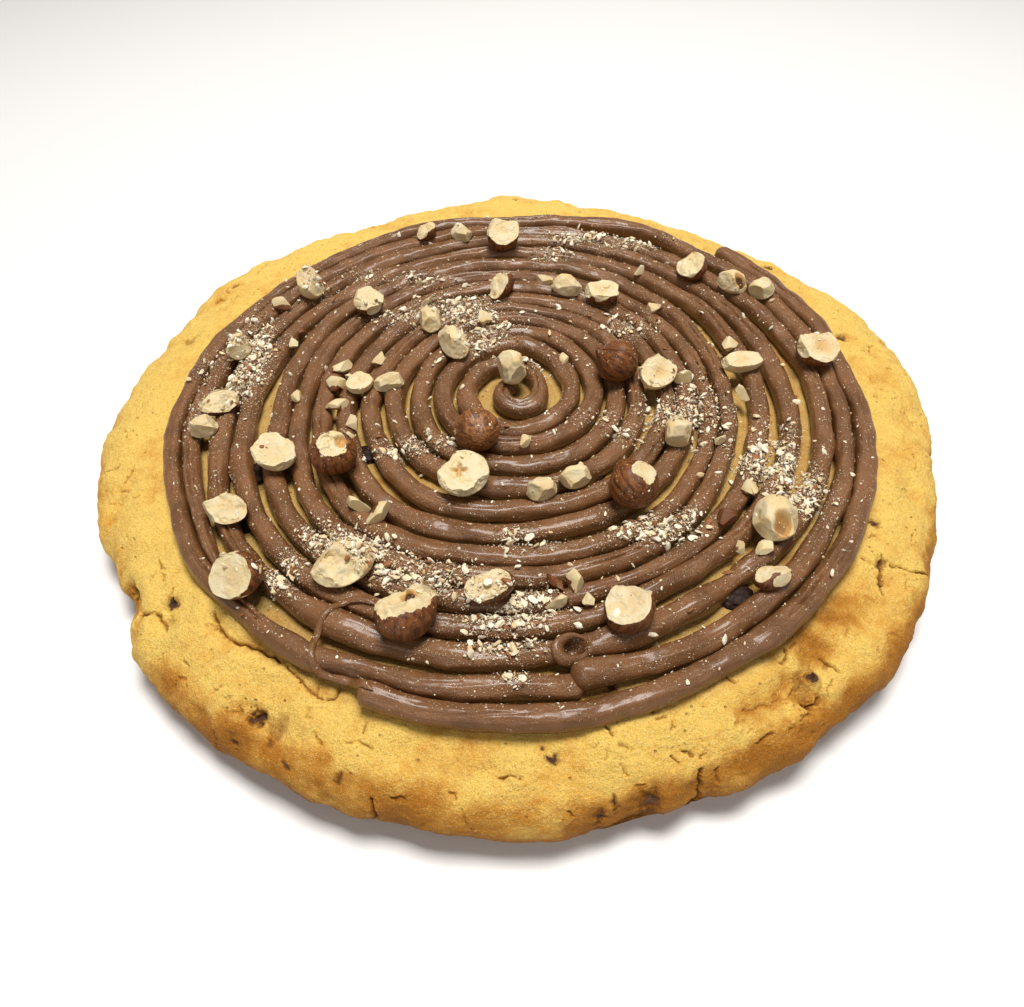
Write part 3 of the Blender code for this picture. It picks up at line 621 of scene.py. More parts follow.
spread = dict(
    ropeWidth=6.7, ropeHeight=5, gap=0.35, sunk=0.7, step=0.75, around=32,
    closest=3, endRoom=9,  # nearer than this is the same rope; degrees kept free past a rope's end
    feet=21.5,  # below this height lie the gaps between the ropes
    narrowed=0.91,  # how wide the ropes are, as a share of the solids' width
    partWidth=0.10, partDepth=0.62,  # the line that parts a rope along its length, its width as a share
    spiral=dict(start=14, pitch=7.3, left=2.4, back=2.8, curl=5.8, turns=11.12),
    # turn, direction and spread in degrees, shift in mm
    swerves=((0, 262, 40, 1.8), (0, 450, 45, 2.2), (1, 450, 45, 2.4), (2, 450, 45, 2.8), (3, 360, 30, -1.8),
             (3, 450, 40, 1.2), (4, 234, 22, 2), (5, 232, 26, 3.4), (5, 360, 40, -1.6), (6, 230, 28, 3.6),
             (6, 300, 22, 1.8), (6, 390, 50, -2.8), (7, 186, 20, -1.8), (7, 222, 26, 3.6), (7, 360, 42, -4.3),
             (8, 184, 18, -2.6), (8, 218, 24, 3.2), (8, 340, 40, -1.8), (9, 220, 28, 3), (9, 302, 26, -3.8),
             (9, 440, 36, 1.3), (10, 184, 14, -1.4), (10, 218, 26, 3.4), (10, 300, 24, -2.8),
             (10, 362, 34, 2.6), (11, 190, 30, 1.8)),
    innerRing=((278, 94.4), (300, 94.7), (360, 96.1), (405, 100), (424, 103.6), (450, 99.2), (475, 102.6),
               (490, 100.2), (540, 103), (570, 102.6), (598, 101), (612, 98), (631, 95.8)),
    outerRing=((250, 103.2), (270, 103.4), (300, 101), (360, 101.4), (380, 104.6), (404, 107)),
    # for each stroke: direction, reach in degrees, how much wider and higher, how far outward
    bulges=dict(
        piped_ring_inner=((277.5, 3.4, 1.4, 1.5, -0.5), (637, 5, 0, -0.9, 0.4)),
        piped_ring_outer=((250, 3, 0.6, 0.9, 0), (268, 7, 0.2, 0.3, 0)),
        piped_spiral=((3840, 5, 1.4, 1.6, 0), (3858, 5, 0.8, 0.9, 0.4), (3885, 5, 1.2, 1.5, 0),
                      (3898, 4, 0.8, 1, 0.3), (3906, 3, -0.8, -0.7, 0), (4183, 12, -1.4, -1.6, 2.2))),
    # chopped nut lies in heaps here: x, y from the spread's centre, reach along x and y, weight
    heaps=((-86, 17, 5, 14, 2.2), (-69, 51, 5, 4, 0.8), (-55, 62, 6, 3, 0.6), (-36, 59, 9, 3, 1),
           (-20, 42, 9, 6, 1.6), (-10, 32, 7, 5, 1.4), (-39, 38, 8, 4, 1), (-11, 21, 6, 4, 0.9),
           (13, 73, 5, 3, 1.4), (25, 84, 9, 3, 1.4), (44, 79, 9, 3, 1.4), (36, 29, 7, 4, 1), (6, 12, 5, 4, 0.5),
           (52, -10, 8, 9, 0.8), (-53, -55, 4, 4, 1.8), (-46, -57, 4, 3, 1.8), (-39, -61, 4, 5, 2),
           (-61, -66, 3.5, 4, 2.6), (-38, -24, 7, 3, 1), (-27, -22, 6, 3, 1), (-32, -66, 5, 4, 1.3),
           (-20, -68, 7, 4, 1.4), (-8, -78, 6, 4, 2.4), (0, -77, 5, 4, 2.2), (-3, -56, 3.5, 2.5, 1.8),
           (5, -57, 4, 2, 0.8), (33, -54, 8, 3, 2.4), (43, -50, 4, 3, 1), (63, -31, 5, 5, 1.2),
           (69, -35, 5, 6, 1.6), (75, -42, 5, 6, 2.2), (74, -25, 4, 8, 1), (31, -20, 4, 3, 0.8),
           (23, -13, 5, 3, 0.6), (42, -12, 6, 5, 0.9), (-4, -95, 2.6, 1.2, 2), (-9, -87, 5, 1.8, 1.6),
           (-2, -86.5, 5, 2, 1.2), (-95, -8, 3, 5, 0.7), (-99, 12, 3, 6, 0.5)),
    # melted chips of dark chocolate between the ropes, which also serve as painted shade in the deep gaps: x, y from
    # the spread's centre, width
    melted=((-57.4, 45.9, 5.5), (-26.1, 27.8, 5), (-75.3, -27.3, 5.5), (-75.8, -45, 5.5), (-44.7, -21.2, 5),
            (51.7, -72, 6), (62, -40.1, 5), (19.8, -31, 4.5), (27.1, 10.8, 4), (-46.5, -57, 4.5),
            (-66.9, 44, 4), (9, -41.5, 4)),
    # a thread of spread from the spiral to the start of the outer ring, and a small loop: x, y from the centre
    thread=((-36, -75.4), (-39.4, -73.6), (-43.2, -73.6), (-46.1, -75.4), (-48.9, -79), (-50.4, -84.1),
            (-50.2, -88.6), (-48.2, -91.2), (-44.8, -92.2), (-41, -93.2), (-37.6, -95.2), (-34.6, -97.6)),
    threadWidth=1.4, loop=(10, -87.4), loopWidth=8.4, loopThick=1.9, loopRise=4.9, loopHole=2.6,
)


def spiralRadius(degrees):
    spiral = spread["spiral"]
    turns = (degrees - 180) / 360
    turn = math.radians(degrees)
    radius = spiral["start"] + spiral["pitch"] * turns - spiral["left"] * math.cos(turn)
    radius += spiral["back"] * min(max(1 - turns / 4, 0), 1) * math.sin(turn)
    for index, middle, reach, shift in spread["swerves"]:
        away = degrees - (middle + 360 * index)
        if abs(away) < 4 * reach:
            radius += shift * math.exp(-((away / reach) ** 2))
    uncurled = smooth((degrees + 15) / 150)
    return spiral["curl"] + (radius - spiral["curl"]) * uncurled


def bulgeAt(name, degrees):  # how much wider, higher and further out a rope is at a place
    total = np.zeros(3)
    for middle, reach, *amounts in spread["bulges"][name]:
        if abs(degrees - middle) < 3 * reach:
            total += np.array(amounts) * math.exp(-(((degrees - middle) / reach) ** 2))
    return total


def alongRing(points, degrees):
    for (start, first), (end, second) in zip(points, points[1:]):
        if degrees <= end:
            return first + (second - first) * smooth((degrees - start) / (end - start))
    return points[-1][1]


strokes = {
    "piped_spiral": (-215, 180 + 360 * spread["spiral"]["turns"], spiralRadius),
    "piped_ring_inner": (278, 631, lambda degrees: alongRing(spread["innerRing"], degrees)),
    "piped_ring_outer": (250, 404, lambda degrees: alongRing(spread["outerRing"], degrees)),
}


def ropesAt(degrees):
    found = []
    for start, end, radiusAt in strokes.values():
        turn = math.ceil((start - spread["endRoom"] - degrees) / 360)
        while degrees + 360 * turn <= end + spread["endRoom"]:
            found.append(radiusAt(degrees + 360 * turn))
            turn += 1
    return found


def ropeStations(name):  # direction, radius, room inside and outside, scale, length so far
    start, end, radiusAt = strokes[name]
    reach = spread["ropeWidth"] / 2
    start -= math.degrees(1.3 * reach / radiusAt(start))
    end += math.degrees((3.2 if name == "piped_ring_inner" else 0.9) * reach / radiusAt(end))
    stations = []
    angle, run = start, 0.0
    while angle < end:
        radius = radiusAt(angle)
        near = [other - radius for other in ropesAt(angle)]
        wide = reach * (1 + 0.1 * wavy(angle / 37, 3.0, 1.0))
        inside = min([wide, *[-other / 2 + 0.05 for other in near if other < -spread["closest"]]])
        outside = min([wide, *[other / 2 + 0.05 for other in near if other > spread["closest"]]])
        stations.append([angle, radius, inside, outside, 1.0, run])
        angle += math.degrees(spread["step"] / radius)
        run += spread["step"]
    stations = np.array(stations)
    for column in (2, 3):  # where a neighbour begins or ends, the rope changes its width softly
        stations[:, column] = softened(stations[:, column], np.hanning(17))
    # the rope's ends are rounded over half a width
    total = stations[-1][5]
    for station in stations:
        nearest = min(station[5], total - station[5]) / (0.9 * reach)
        if nearest < 1:
            station[4] = math.sqrt(max(0.0, 1 - (1 - nearest) ** 2))
    return stations


def dustAt(x, y):  # how much nut dust lies at a place on the spread
    return sum(weight * math.exp(-(((x - a) / reachX) ** 2 + ((y - b) / reachY) ** 2) / 3)
               for a, b, reachX, reachY, weight in spread["heaps"])


def makeRope(name, node, seed):
    stations = ropeStations(node)
    item, grid = addGrid(name, spread["around"], len(stations) - 1)
    lines = []
    for angle, radius, inside, outside, scale, run in stations:
        wider, higher, outward = bulgeAt(node, angle)
        width = spread["narrowed"] + 0.12 * wavy(run / 19, seed, 1.0) + 0.07 * wavy(run / 8, seed, 2.0)
        height = spread["ropeHeight"] * (1 + 0.15 * wavy(run / 24, seed, 3.0) + 0.08 * wavy(run / 9, seed, 8.0))
        sway = 0.85 * wavy(run / 23, 5.0, seed) + 0.25 * wavy(run / 8, 6.0, seed) + outward
        firm = smooth(0.15 + 1.9 * wavy(run / 46, seed, 4.0))  # how clearly the rope is parted along its length
        parting = 0.6 * wavy(run / 36, seed, 9.0)
        lines.append((width, (height + higher) * (0.45 + 0.55 * scale), sway, firm, parting, wider / 2))
    base = cookie["thickness"] + spread["gap"]
    places, dust = [], []
    for u, v in grid:
        row = round(v * (len(stations) - 1))
        angle, radius, inside, outside, scale, run = stations[row]
        width, height, sway, firm, parting, wider = lines[row]
        # the corners lie closer together on the rope's top
        turn = 2 * math.pi * u + 0.5 * math.sin(2 * math.pi * u) - math.pi / 2
        across, rise = math.cos(turn), math.sin(turn)
        swell = (abs(across) ** 2.4 + abs(rise) ** 2.2) ** (-1 / 2.3)
        side = across * swell * ((outside if across > 0 else inside) * width + wider)
        up = height * (0.5 + 0.5 * rise * swell)
        # ridges left by the nozzle run along the rope, which thickens and thins a little
        relief = 0.27 * wavy(across * 2.1, rise * 2.1, run / 40 + seed) + 0.08 * wavy(across * 5, rise * 5, run / 26)
        relief += 0.36 * wavy(across * 1.1, rise * 1.1, run / 6.5 + 9 * seed)
        relief += 0.09 * wavy(across * 3, rise * 3, run / 1.7)
        if rise > 0:
            part = (across - parting) / spread["partWidth"]
            relief -= spread["partDepth"] * firm * math.exp(-part * part) * smooth(rise * 2)
            relief += 0.20 * firm * math.exp(-((abs(across - parting) - 0.28) / 0.14) ** 2)
        side += relief * across
        up += relief * max(rise, 0)
        bearing = math.radians(angle)
        flat = radius + side * scale + sway
        x, y = flat * math.cos(bearing), flat * math.sin(bearing)
        # it is hollow inside the loop
        away = math.hypot(x - spread["loop"][0], y - spread["loop"][1]) / spread["loopHole"]
        up *= 1 - 0.75 * math.exp(-(away**4))
        places.append((x, y, base + up - spread["sunk"] * (1 - min(up / height, 1))))
        dust.append(min(dustAt(x, y), 2.0))
    places = np.array(places) + spreadCentre
    keepInside(places, node)
    setPoints(item.data, places * mm)
    setAttributes(item, dust=dust)
    closeSeams(item)
    return finishPiece(item, chocolate, "spread", node, angle=70)


print("piping the spread")
ropes = [makeRope(node.replace("piped", "spread"), node, seed) for seed, node in enumerate(strokes, 1)]


def makeThread(trees):  # a thin tube laid over the ropes
    corners = np.array(spread["thread"]) + spreadCentre[:2]
    steps = 8 * (len(corners) - 1)
    share = np.linspace(0, len(corners) - 1, steps + 1)
    flat = [softened(np.interp(share, range(len(corners)), corners[:, axis]), np.ones(5)) for axis in (0, 1)]
    heights = np.array([max(landing(trees, x, y)[0].z / mm, spread["feet"]) for x, y in zip(*flat)])
    heights = np.maximum(softened(heights, np.ones(13)), heights - 0.2) + 0.6
    middles = np.column_stack((*flat, softened(heights, np.ones(5))))
    item, grid = addGrid("spread_thread", 12, steps)
    places = []
    for u, v in grid:
        row = round(v * steps)
        ahead = Vector(middles[min(row + 1, steps)] - middles[max(row - 1, 0)]).normalized()
        side = ahead.cross(Vector((0, 0, 1))).normalized()
        over = side.cross(ahead)
        end = math.sin(math.pi * min(row / 8, 1, (steps - row) / 9) / 2)
        reach = spread["threadWidth"] / 2 * end * (1 + 0.25 * wavy(row / 5, 2.0, 1.0) + 0.35 * (row / steps) ** 2)
        turn = 2 * math.pi * u
        places.append(Vector(middles[row]) + reach * (1.25 * math.cos(turn) * side + 0.8 * math.sin(turn) * over))
    setPoints(item.data, np.array(places) * mm)
    setAttributes(item, dust=np.zeros(len(places)))
    closeSeams(item)
    return finishPiece(item, chocolate, "spread", angle=70)


def makeLoop():  # a small ring of spread, tipped towards the front
    thick = spread["loopThick"] / 2
    ring = spread["loopWidth"] / 2 - thick
    deselectAll()
    bpy.ops.mesh.primitive_torus_add(major_radius=ring, minor_radius=thick, major_segments=64, minor_segments=24)
    item = named("spread_loop")
    places = pointsOf(item.data)
    turn = np.arctan2(places[:, 1], places[:, 0])
    middles = np.column_stack((np.cos(turn), np.sin(turn), 0 * turn)) * ring
    swell = 0.85 + 0.50 * np.cos(turn - 3.6)  # fatter on the left, where the stroke began
    oval = 1 + 0.1 * np.sin(2 * turn + 0.6)
    places = middles * oval[:, None] + (places - middles) * swell[:, None] * (1.2, 1.2, 1)
    places *= (1 + 0.14 * roughAll(places, 0.22, 3))[:, None] * (1.08, 0.9, 1.0)
    places[:, 2] += 0.22 * places[:, 1] - 0.12 * places[:, 0]
    places += spreadCentre + (*spread["loop"], cookie["thickness"] + spread["loopRise"])
    setPoints(item.data, places * mm)
    setAttributes(item, dust=np.zeros(len(places)))
    return finishPiece(item, chocolate, "spread", angle=70)


# dark lumps between the ropes: melted chocolate, and painted shade where the gaps are deep
def makeMeltedChipsAndShade():
    points, faces, count = [], [], 0
    for index, (x, y, width) in enumerate(spread["melted"]):
        deselectAll()
        bpy.ops.mesh.primitive_ico_sphere_add(subdivisions=5, radius=1)
        ball = bpy.context.object
        places = pointsOf(ball.data)
        lumpy = 1 + 0.3 * roughAll(places, 1.1, index) + 0.05 * roughAll(places, 3.4, index)
        places *= lumpy[:, None] * (0.75 * width, 0.65 * width, 1.6)
        points.append(places + spreadCentre + (x, y, cookie["thickness"] + 0.7))
        faces.append(np.array([face.vertices[:] for face in ball.data.polygons]) + count)
        count += len(places)
        bpy.data.objects.remove(ball, do_unlink=True)
    return finishPiece(joined("melted_chips", points, faces), darkChocolateAndShade, "spread", angle=70)


# The hazelnuts

nuts = dict(
    sink=1.3,
    # x, y from the spread's centre, size, turn, tilt, skin kept, cut off at the top as a share of the size
    kernels=((29.3, 6.1, 14, 257, 62, 1, 1), (-12.7, -21.9, 13.5, 15, 66, 0.97, 1),
             (28.6, -43, 14, 200, 75, 0.95, 0.46), (-52, -29.5, 13.5, 40, 10, 0.9, 0.30)),
    # x, y, length, width, height, turn, tilt, skin kept, depth of the hollow
    halves=((-16.2, -37.5, 14, 13, 8, 10, 6, 0.1, 1.5), (-69, -26.9, 13.5, 11.5, 6.5, 150, 8, 0.05, 0.3),
            (23.4, -79.9, 12.8, 11.6, 9, 70, 14, 0.9, 0.4), (-70.8, -68, 13, 12.5, 8.5, 30, 12, 0.6, 0.4),
            (-9.1, -72.6, 12.5, 8.5, 7, 15, 12, 0.8, 0.4), (42.3, 2.9, 14, 10.5, 7, 55, 10, 0, 0.7),
            (68.8, 7.3, 13.5, 6.5, 5.5, 5, 8, 0.1, 0.3), (92.8, 11.3, 13.5, 12, 7.5, 120, 14, 0.8, 0.9),
            (29.3, 44.5, 12.5, 9.5, 6, 170, 8, 0.8, 0.5), (-49.9, 41.7, 10.5, 10, 7, 60, 16, 0.7, 0.3),
            (-4.2, 78.8, 13, 12, 11, 90, 6, 1, 0.2), (-48.9, 2.8, 9, 7, 4.5, 40, 6, 0, 0.3)),
    # x, y, length, width, height, turn, skin kept
    pieces=((-45.4, -64.9, 14, 11, 7, 20, 0.1), (-28.5, -78.7, 15, 13, 10, 75, 0.8),
            (-20.8, 20.5, 14, 8.5, 7, 110, 0.2), (-72, 53.7, 14, 9, 8.5, 115, 0.1),
            (64.4, -53.7, 13, 11, 7, 50, 0.2), (62.1, 58.3, 10.5, 9.5, 7.5, 80, 0.9),
            (74.8, 49.8, 11, 7, 6, 140, 0), (-2.4, 6.3, 10.5, 9, 8.5, 90, 0.05),
            (44.3, -22, 9.5, 8.5, 7, 60, 0.15), (14.2, -36.8, 9, 6.5, 5, 25, 0.1),
            (4.6, -41.2, 8.5, 7, 5.5, 0, 0.1), (-5.5, 50.7, 11.5, 7.5, 6.5, 60, 1),
            (17.5, 50.5, 11, 7.5, 5.5, 150, 0), (-90.1, -5.2, 10.5, 7, 6, 25, 0.7),
            (-78.9, -46, 11, 8, 6, 165, 0.9), (-28.8, 32.9, 9.5, 7.5, 6, 100, 0.35),
            (84.2, 45.9, 8.5, 7.5, 5.5, 30, 0), (-89.8, 20.5, 8.5, 7, 6.5, 95, 0),
            (-92.9, -14.4, 8.5, 6.5, 5.5, 10, 0.1), (59.5, -70.7, 9, 6, 5, 20, 1),
            (-40.1, 3.3, 9.5, 5.5, 4.5, 20, 0.1), (-20.2, 86.7, 9.5, 6.5, 5, 130, 0.1),
            (-33.5, 87.6, 8, 6.5, 6, 60, 0.9)),
    # how far the split face of a half leans to the right and to the back, and how high it lies
    leans={1: (-0.05, -0.15, 0.15), 2: (0.05, -0.25, 0.15), 3: (-0.80, 0.05, 0.34), 4: (-0.60, -0.50, 0.28),
           5: (-0.40, 0.05, 0.25), 6: (0, -0.30, 0.15), 8: (-0.20, -0.45, 0.2), 9: (0, -0.20, 0.15),
           11: (0, -0.60, 0.15)},
    # pieces that broke once, across: the direction the break faces, and how far out it lies
    breaks={1: (0.10, -0.35, 0.90, 0.40), 2: (-0.10, 0.55, 0.80, 0.22), 6: (-0.40, -0.20, 0.85, 0.40),
            12: (-0.60, -0.20, 0.70, 0.20), 14: (0.35, -0.30, 0.80, 0.30), 15: (0.15, -0.30, 0.85, 0.28),
            20: (-0.10, 0.60, 0.80, 0.55), 23: (-0.50, -0.20, 0.80, 0.20)},
    torn={2: 0.9, 1: 0.7},  # how ragged a break is
    # hollows in a piece, darkened with melted chocolate and painted shade: x, y, width, depth
    hollows={2: (0.5, 3.4, 1.6, 1.6), 5: (0.3, -3.5, 2.3, 3.5), 7: (1.8, -2, 1.8, 2.4)},
)


def turned(turn, tilt=0):
    return Euler((math.radians(tilt), 0, math.radians(turn)), "XYZ").to_matrix()


def roundNut(name, size, subdivisions):  # a lumpy ball: object, places on the round ball, places, skin and shade
    deselectAll()
    bpy.ops.mesh.primitive_ico_sphere_add(subdivisions=subdivisions, radius=0.5)
    item = named(name)
    ball = pointsOf(item.data)
    shift = Vector((size[0] * mm, size[1] * mm, 0)) * 900
    bumps = np.array([1 + 0.05 * noise.noise(Vector(place) * 3 + shift) for place in ball])
    return item, ball, ball * np.array(size) * bumps[:, None], np.ones(len(ball)), np.zeros(len(ball))


def breakOff(places, skin, normal, reach, jag, seed, soft=0.07, ledge=0.25):  # presses what lies past a plane onto it
    normal = np.array(normal, float)
    for _ in range(2):
        uneven = roughAll(places, 0.28, seed) + 0.45 * roughAll(places, 0.8, seed + 4)
        layer = 2.2 * roughAll(places, 0.33, seed + 9) + 0.3 * roughAll(places, 1.5, seed)
        uneven = jag * uneven + ledge * (np.floor(layer) + np.clip((layer % 1) * 5, 0, 1))
        past = places @ normal - (reach + uneven)
        push = 0.5 * (past + np.sqrt(past**2 + soft**2)) - 0.5 * soft * np.exp(-np.abs(past) / soft)
        places -= np.maximum(push, 0)[:, None] * normal
        skin *= 1 - np.clip((past + 0.2) / 0.3, 0, 1)


def facing(direction, turn, tilt=0):  # a direction seen in the photo, before the nut is turned and tilted
    return turned(turn, tilt).transposed() @ Vector(direction).normalized()


def reachTo(normal, *size):  # how far a nut of this size reaches along a direction
    return Vector([share * side for share, side in zip(normal, size)]).length / 2


def placeNut(nut, node, x, y, turn, tilt, seed, kept):
    item, ball, places, skin, shade = nut
    outside = skin.copy()
    for index, place in enumerate(places):
        place += 2 * ball[index] * (0.10 * rough(place, 0.55, seed) + 0.05 * rough(place, 1.6, seed + 7))
        flaked = 0.5 + 0.5 * rough(place, 0.16, seed + 2) + 0.22 * rough(place, 0.5, seed + 3)
        skin[index] *= smooth((kept * 1.35 - 0.18 - flaked) / 0.12 + 0.5) if kept > 0 else 0
    places = places @ np.array(turned(turn, tilt)).T
    low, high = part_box(node)
    places[:, 2] -= places[:, 2].min()
    places[:, 2] *= min(1, (high.z - low.z) / mm / places[:, 2].max())
    bottom = cookie["thickness"] + spread["gap"] + spread["ropeHeight"] - nuts["sink"]
    places += spreadCentre + (x, y, bottom)
    setPoints(item.data, places * mm)
    setAttributes(item, skin=skin, shade=shade, outside=outside, lengthwise=ball * (3.0, 3.0, 0.45) + seed)
    slot = "hazelnut_skin" if node.startswith("kernel") else "hazelnut_flesh"
    return finishPiece(item, hazelnut, slot, node, angle=65)


def makeKernel(index, row):
    x, y, size, turn, tilt, kept, cutAt = row
    nut = item, ball, places, skin, shade = roundNut(f"hazelnut_kernel_{index}", (0.95 * size, 0.95 * size, size), 6)
    for place in places:
        tip = smooth((place[2] / size + 0.05) / 0.55)
        place[:2] *= 1 - (0.6 if index == 1 else 0.3) * tip**1.5
    bearing = np.arctan2(ball[:, 1], ball[:, 0])
    # wrinkles of the skin run from the base to the tip
    for i, place in enumerate(places):
        spot = Vector((3.4 * math.cos(bearing[i]), 3.4 * math.sin(bearing[i]), 1.2 * ball[i][2] + index))
        wrinkle = noise.noise(spot) + 0.5 * noise.noise(spot * 2.3)
        place *= 1 + 0.016 * wrinkle * (1 - abs(2 * ball[i][2]) ** 6)
    if index == 1:  # a seam where the two halves part
        seam = np.exp(-((np.abs((bearing - 1.15 + math.pi) % (2 * math.pi) - math.pi)) / 0.08) ** 2)
        places *= (1 - 0.07 * seam * (ball[:, 2] > -0.35))[:, None]
    if index == 2:  # paler than the others, and chipped on the left
        breakOff(places, skin, facing((-0.75, -0.50, 0.40), turn, tilt), 0.465 * size, 0.3, index)
        shade += 0.55 * skin
    if index == 3:  # broken on two sides
        breakOff(places, skin, (0.55, -0.25, 0.8), cutAt * size, 0.3, index)
        breakOff(places, skin, (-0.457, 0.875, 0.172), 0.37 * size, 0.4, index + 5)
    if index == 4:  # broken open at the top, with the flesh showing and a hollow beside it
        breakOff(places, skin, (0, 0, 1), cutAt * size, 0.5, index, ledge=0.5)
        away = np.hypot(places[:, 0] - 2.6, places[:, 1] + 0.8) / 1.7
        dent = np.exp(-(away**4)) * (ball[:, 2] > 0)
        places[:, 2] -= 1.3 * dent
        shade += 1.2 * dent
    placeNut(nut, f"kernel_{index}", x, y, turn, tilt, 10.0 + index, kept)


def makeHalf(index, row):
    x, y, length, width, height, turn, tilt, kept, hollow = row
    nut = item, ball, places, skin, shade = roundNut(f"hazelnut_half_{index}", (length, width, 1.7 * height), 6)
    draw = random.Random(40 + index)
    leanX, leanY, share = nuts["leans"].get(index, (0, 0, 0.15))
    breakOff(places, skin, facing((leanX, leanY, 1), turn), share * height, 0.2, 20 + index, ledge=0.2)
    # the edge of the split face is chipped, and its middle is a little hollow
    for _ in range(5 if share < 0.25 else 1):
        corner = draw.uniform(0, 2 * math.pi)
        normal = Vector((math.cos(corner), math.sin(corner), draw.uniform(0, 0.9))).normalized()
        reach = reachTo(normal, length, width, 0.3 * height)
        breakOff(places, skin, normal, reach * draw.uniform(0.80, 0.95), 0.3, draw.uniform(0, 50))
    right = places[:, 0] - draw.uniform(-0.08, 0.08) * length
    back = places[:, 1] - draw.uniform(-0.08, 0.08) * width
    bearing = np.arctan2(back, right)
    if index == 1:  # the gap between its two halves shows as a star
        star, wide, deepest = 1 + 0.5 * np.cos(4 * bearing + index), 0.10, 4
    else:
        star, wide, deepest = 1 + 0.12 * np.cos(2 * bearing), 0.21, 2
    reach = np.hypot(right / (wide * length), back / (wide * width)) / star
    dent = np.exp(-(reach**deepest)) * (ball[:, 2] > 0)
    places[:, 2] -= hollow * dent
    shade += dent * min(hollow, 1) * 0.8
    placeNut(nut, f"half_{index}", x, y, turn, tilt, 20.0 + index, kept)


def makePiece(index, row):
    x, y, length, width, height, turn, kept = row
    size = (1.12 * length, 1.12 * width, 1.25 * height)
    nut = item, ball, places, skin, shade = roundNut(f"hazelnut_piece_{index}", size, 5)
    draw = random.Random(index)
    broken = index in nuts["breaks"]
    cuts = []
    if broken:
        *normal, share = nuts["breaks"][index]
        cuts.append((facing(normal, turn), share))
    else:
        for corner in (0, 95, 190, 280):
            bearing = math.radians(corner + draw.uniform(-25, 25))
            normal = Vector((math.cos(bearing), math.sin(bearing), draw.uniform(-0.1, 0.6))).normalized()
            cuts.append((normal, draw.uniform(0.72, 0.88)))
    for _ in range(3 if broken else 6):
        normal = Vector((draw.uniform(-1, 1), draw.uniform(-1, 1), draw.uniform(0.1, 1))).normalized()
        cuts.append((normal, draw.uniform(0.80, 0.97)))
    for count, (normal, share) in enumerate(cuts):
        reach = reachTo(normal, length, width, height) * share
        torn = nuts["torn"].get(index, 0.4) if broken and count == 0 else 0.16
        breakOff(places, skin, normal, reach, torn, 7 * index + count, soft=0.05, ledge=torn)
    if index in nuts["hollows"]:
        offX, offY, wide, deep = nuts["hollows"][index]
        middle = turned(-turn) @ Vector((offX, offY, 0))
        away = np.hypot(places[:, 0] - middle.x, places[:, 1] - middle.y) / wide
        away *= 1 + 0.3 * roughAll(places, 0.5, index)
        dent = np.exp(-(away**4)) * (ball[:, 2] > 0)
        places[:, 2] -= deep * dent
        # the hollow's dark colour is melted chocolate and painted shade
        shade += (1.3 if index == 5 else 2.2) * dent
    shade += [0.175 * smooth(0.5 + 2 * rough(place, 0.2, 60 + index)) for place in places]
    placeNut(nut, f"piece_{index}", x, y, turn, 0, 60.0 + index, kept)


print("cracking the hazelnuts")
for kind, make in (("kernels", makeKernel), ("halves", makeHalf), ("pieces", makePiece)):
    for index, row in enumerate(nuts[kind], 1):
        make(index, row)


# Chopped nut, from chips down to dust

chopped = dict(
    # the chips that are fused to the spiral: x, y, length, width, turn
    chips=((-30.8, 45.2, 8, 4, 60), (67.2, 19, 7.5, 5, 30), (66.4, -4.2, 7.5, 4, 115),
           (49.9, 2.8, 6, 5.5, 10), (-55.9, 12.6, 8, 4.5, 35), (-44.7, 15.9, 8, 4, 75),
           (-56.4, 3.8, 7, 5, 170), (-55.2, -5.5, 7, 5, 20), (-49.5, -13.4, 8, 4.5, 130),
           (-50.5, -18.1, 5, 3, 40), (-44.9, -44.3, 8, 5, 160), (-38.2, -47.4, 8, 5, 60),
           (9.9, 56.3, 9, 4.5, 145), (-11.7, 35.7, 7.5, 5.5, 110), (52.1, -51.2, 6.5, 5.5, 0),
           (60.4, -61.5, 6.5, 5, 40), (53.9, -61.4, 5.5, 4, 120), (60.2, -41.3, 7.5, 5, 70),
           (7.4, -75.4, 7, 4.5, 20), (12, -69.8, 6, 5, 100), (6.2, -69.5, 8, 3, 120),
           (14.2, -75, 4.5, 3.5, 80), (0.7, -22.3, 4.5, 4.5, 0), (14.4, 13.7, 4.5, 3.5, 90),
           (56.2, -23.9, 5, 4.5, 60), (45.5, 38.2, 8, 5, 140), (44.1, 60.5, 6, 4, 45),
           (-80.8, 45.6, 8, 5, 160), (-72, 31.4, 5, 3, 80), (-73.8, 24.8, 5, 3.5, 100),
           (-68.2, -1.3, 5, 3.5, 70)),
    brownChips=(14, 20, 28),  # these keep their skin all over
    evenReach=103, farthest=104,  # how far from the spread's centre it lies between the heaps, and at all
    steepest=0.35, inGaps=0.5,  # none stays where the surface's normal rises less; share that stays in the gaps
    tilt=0.45, heapRise=0.7,  # how far grains tip, and how high they lie on each other in a heap
    # how many, shortest and longest, share of them in the heaps, share of brown skin, segments and rings, where
    # two rings give a splinter with three sides
    bits=dict(count=2000, size=(1.1, 3.4), clustered=0.86, brown=0.10, corners=(8, 6), seed=5),
    crumbs=dict(count=5700, size=(0.5, 1.5), clustered=0.78, brown=0.12, corners=(6, 4), seed=6),
    dust=dict(count=24000, size=(0.24, 0.8), clustered=0.42, brown=0.10, corners=(3, 2), seed=7),
    flour=dict(count=14000, size=(0.25, 0.7), clustered=0.85, brown=0.06, corners=(3, 2), seed=8),
)


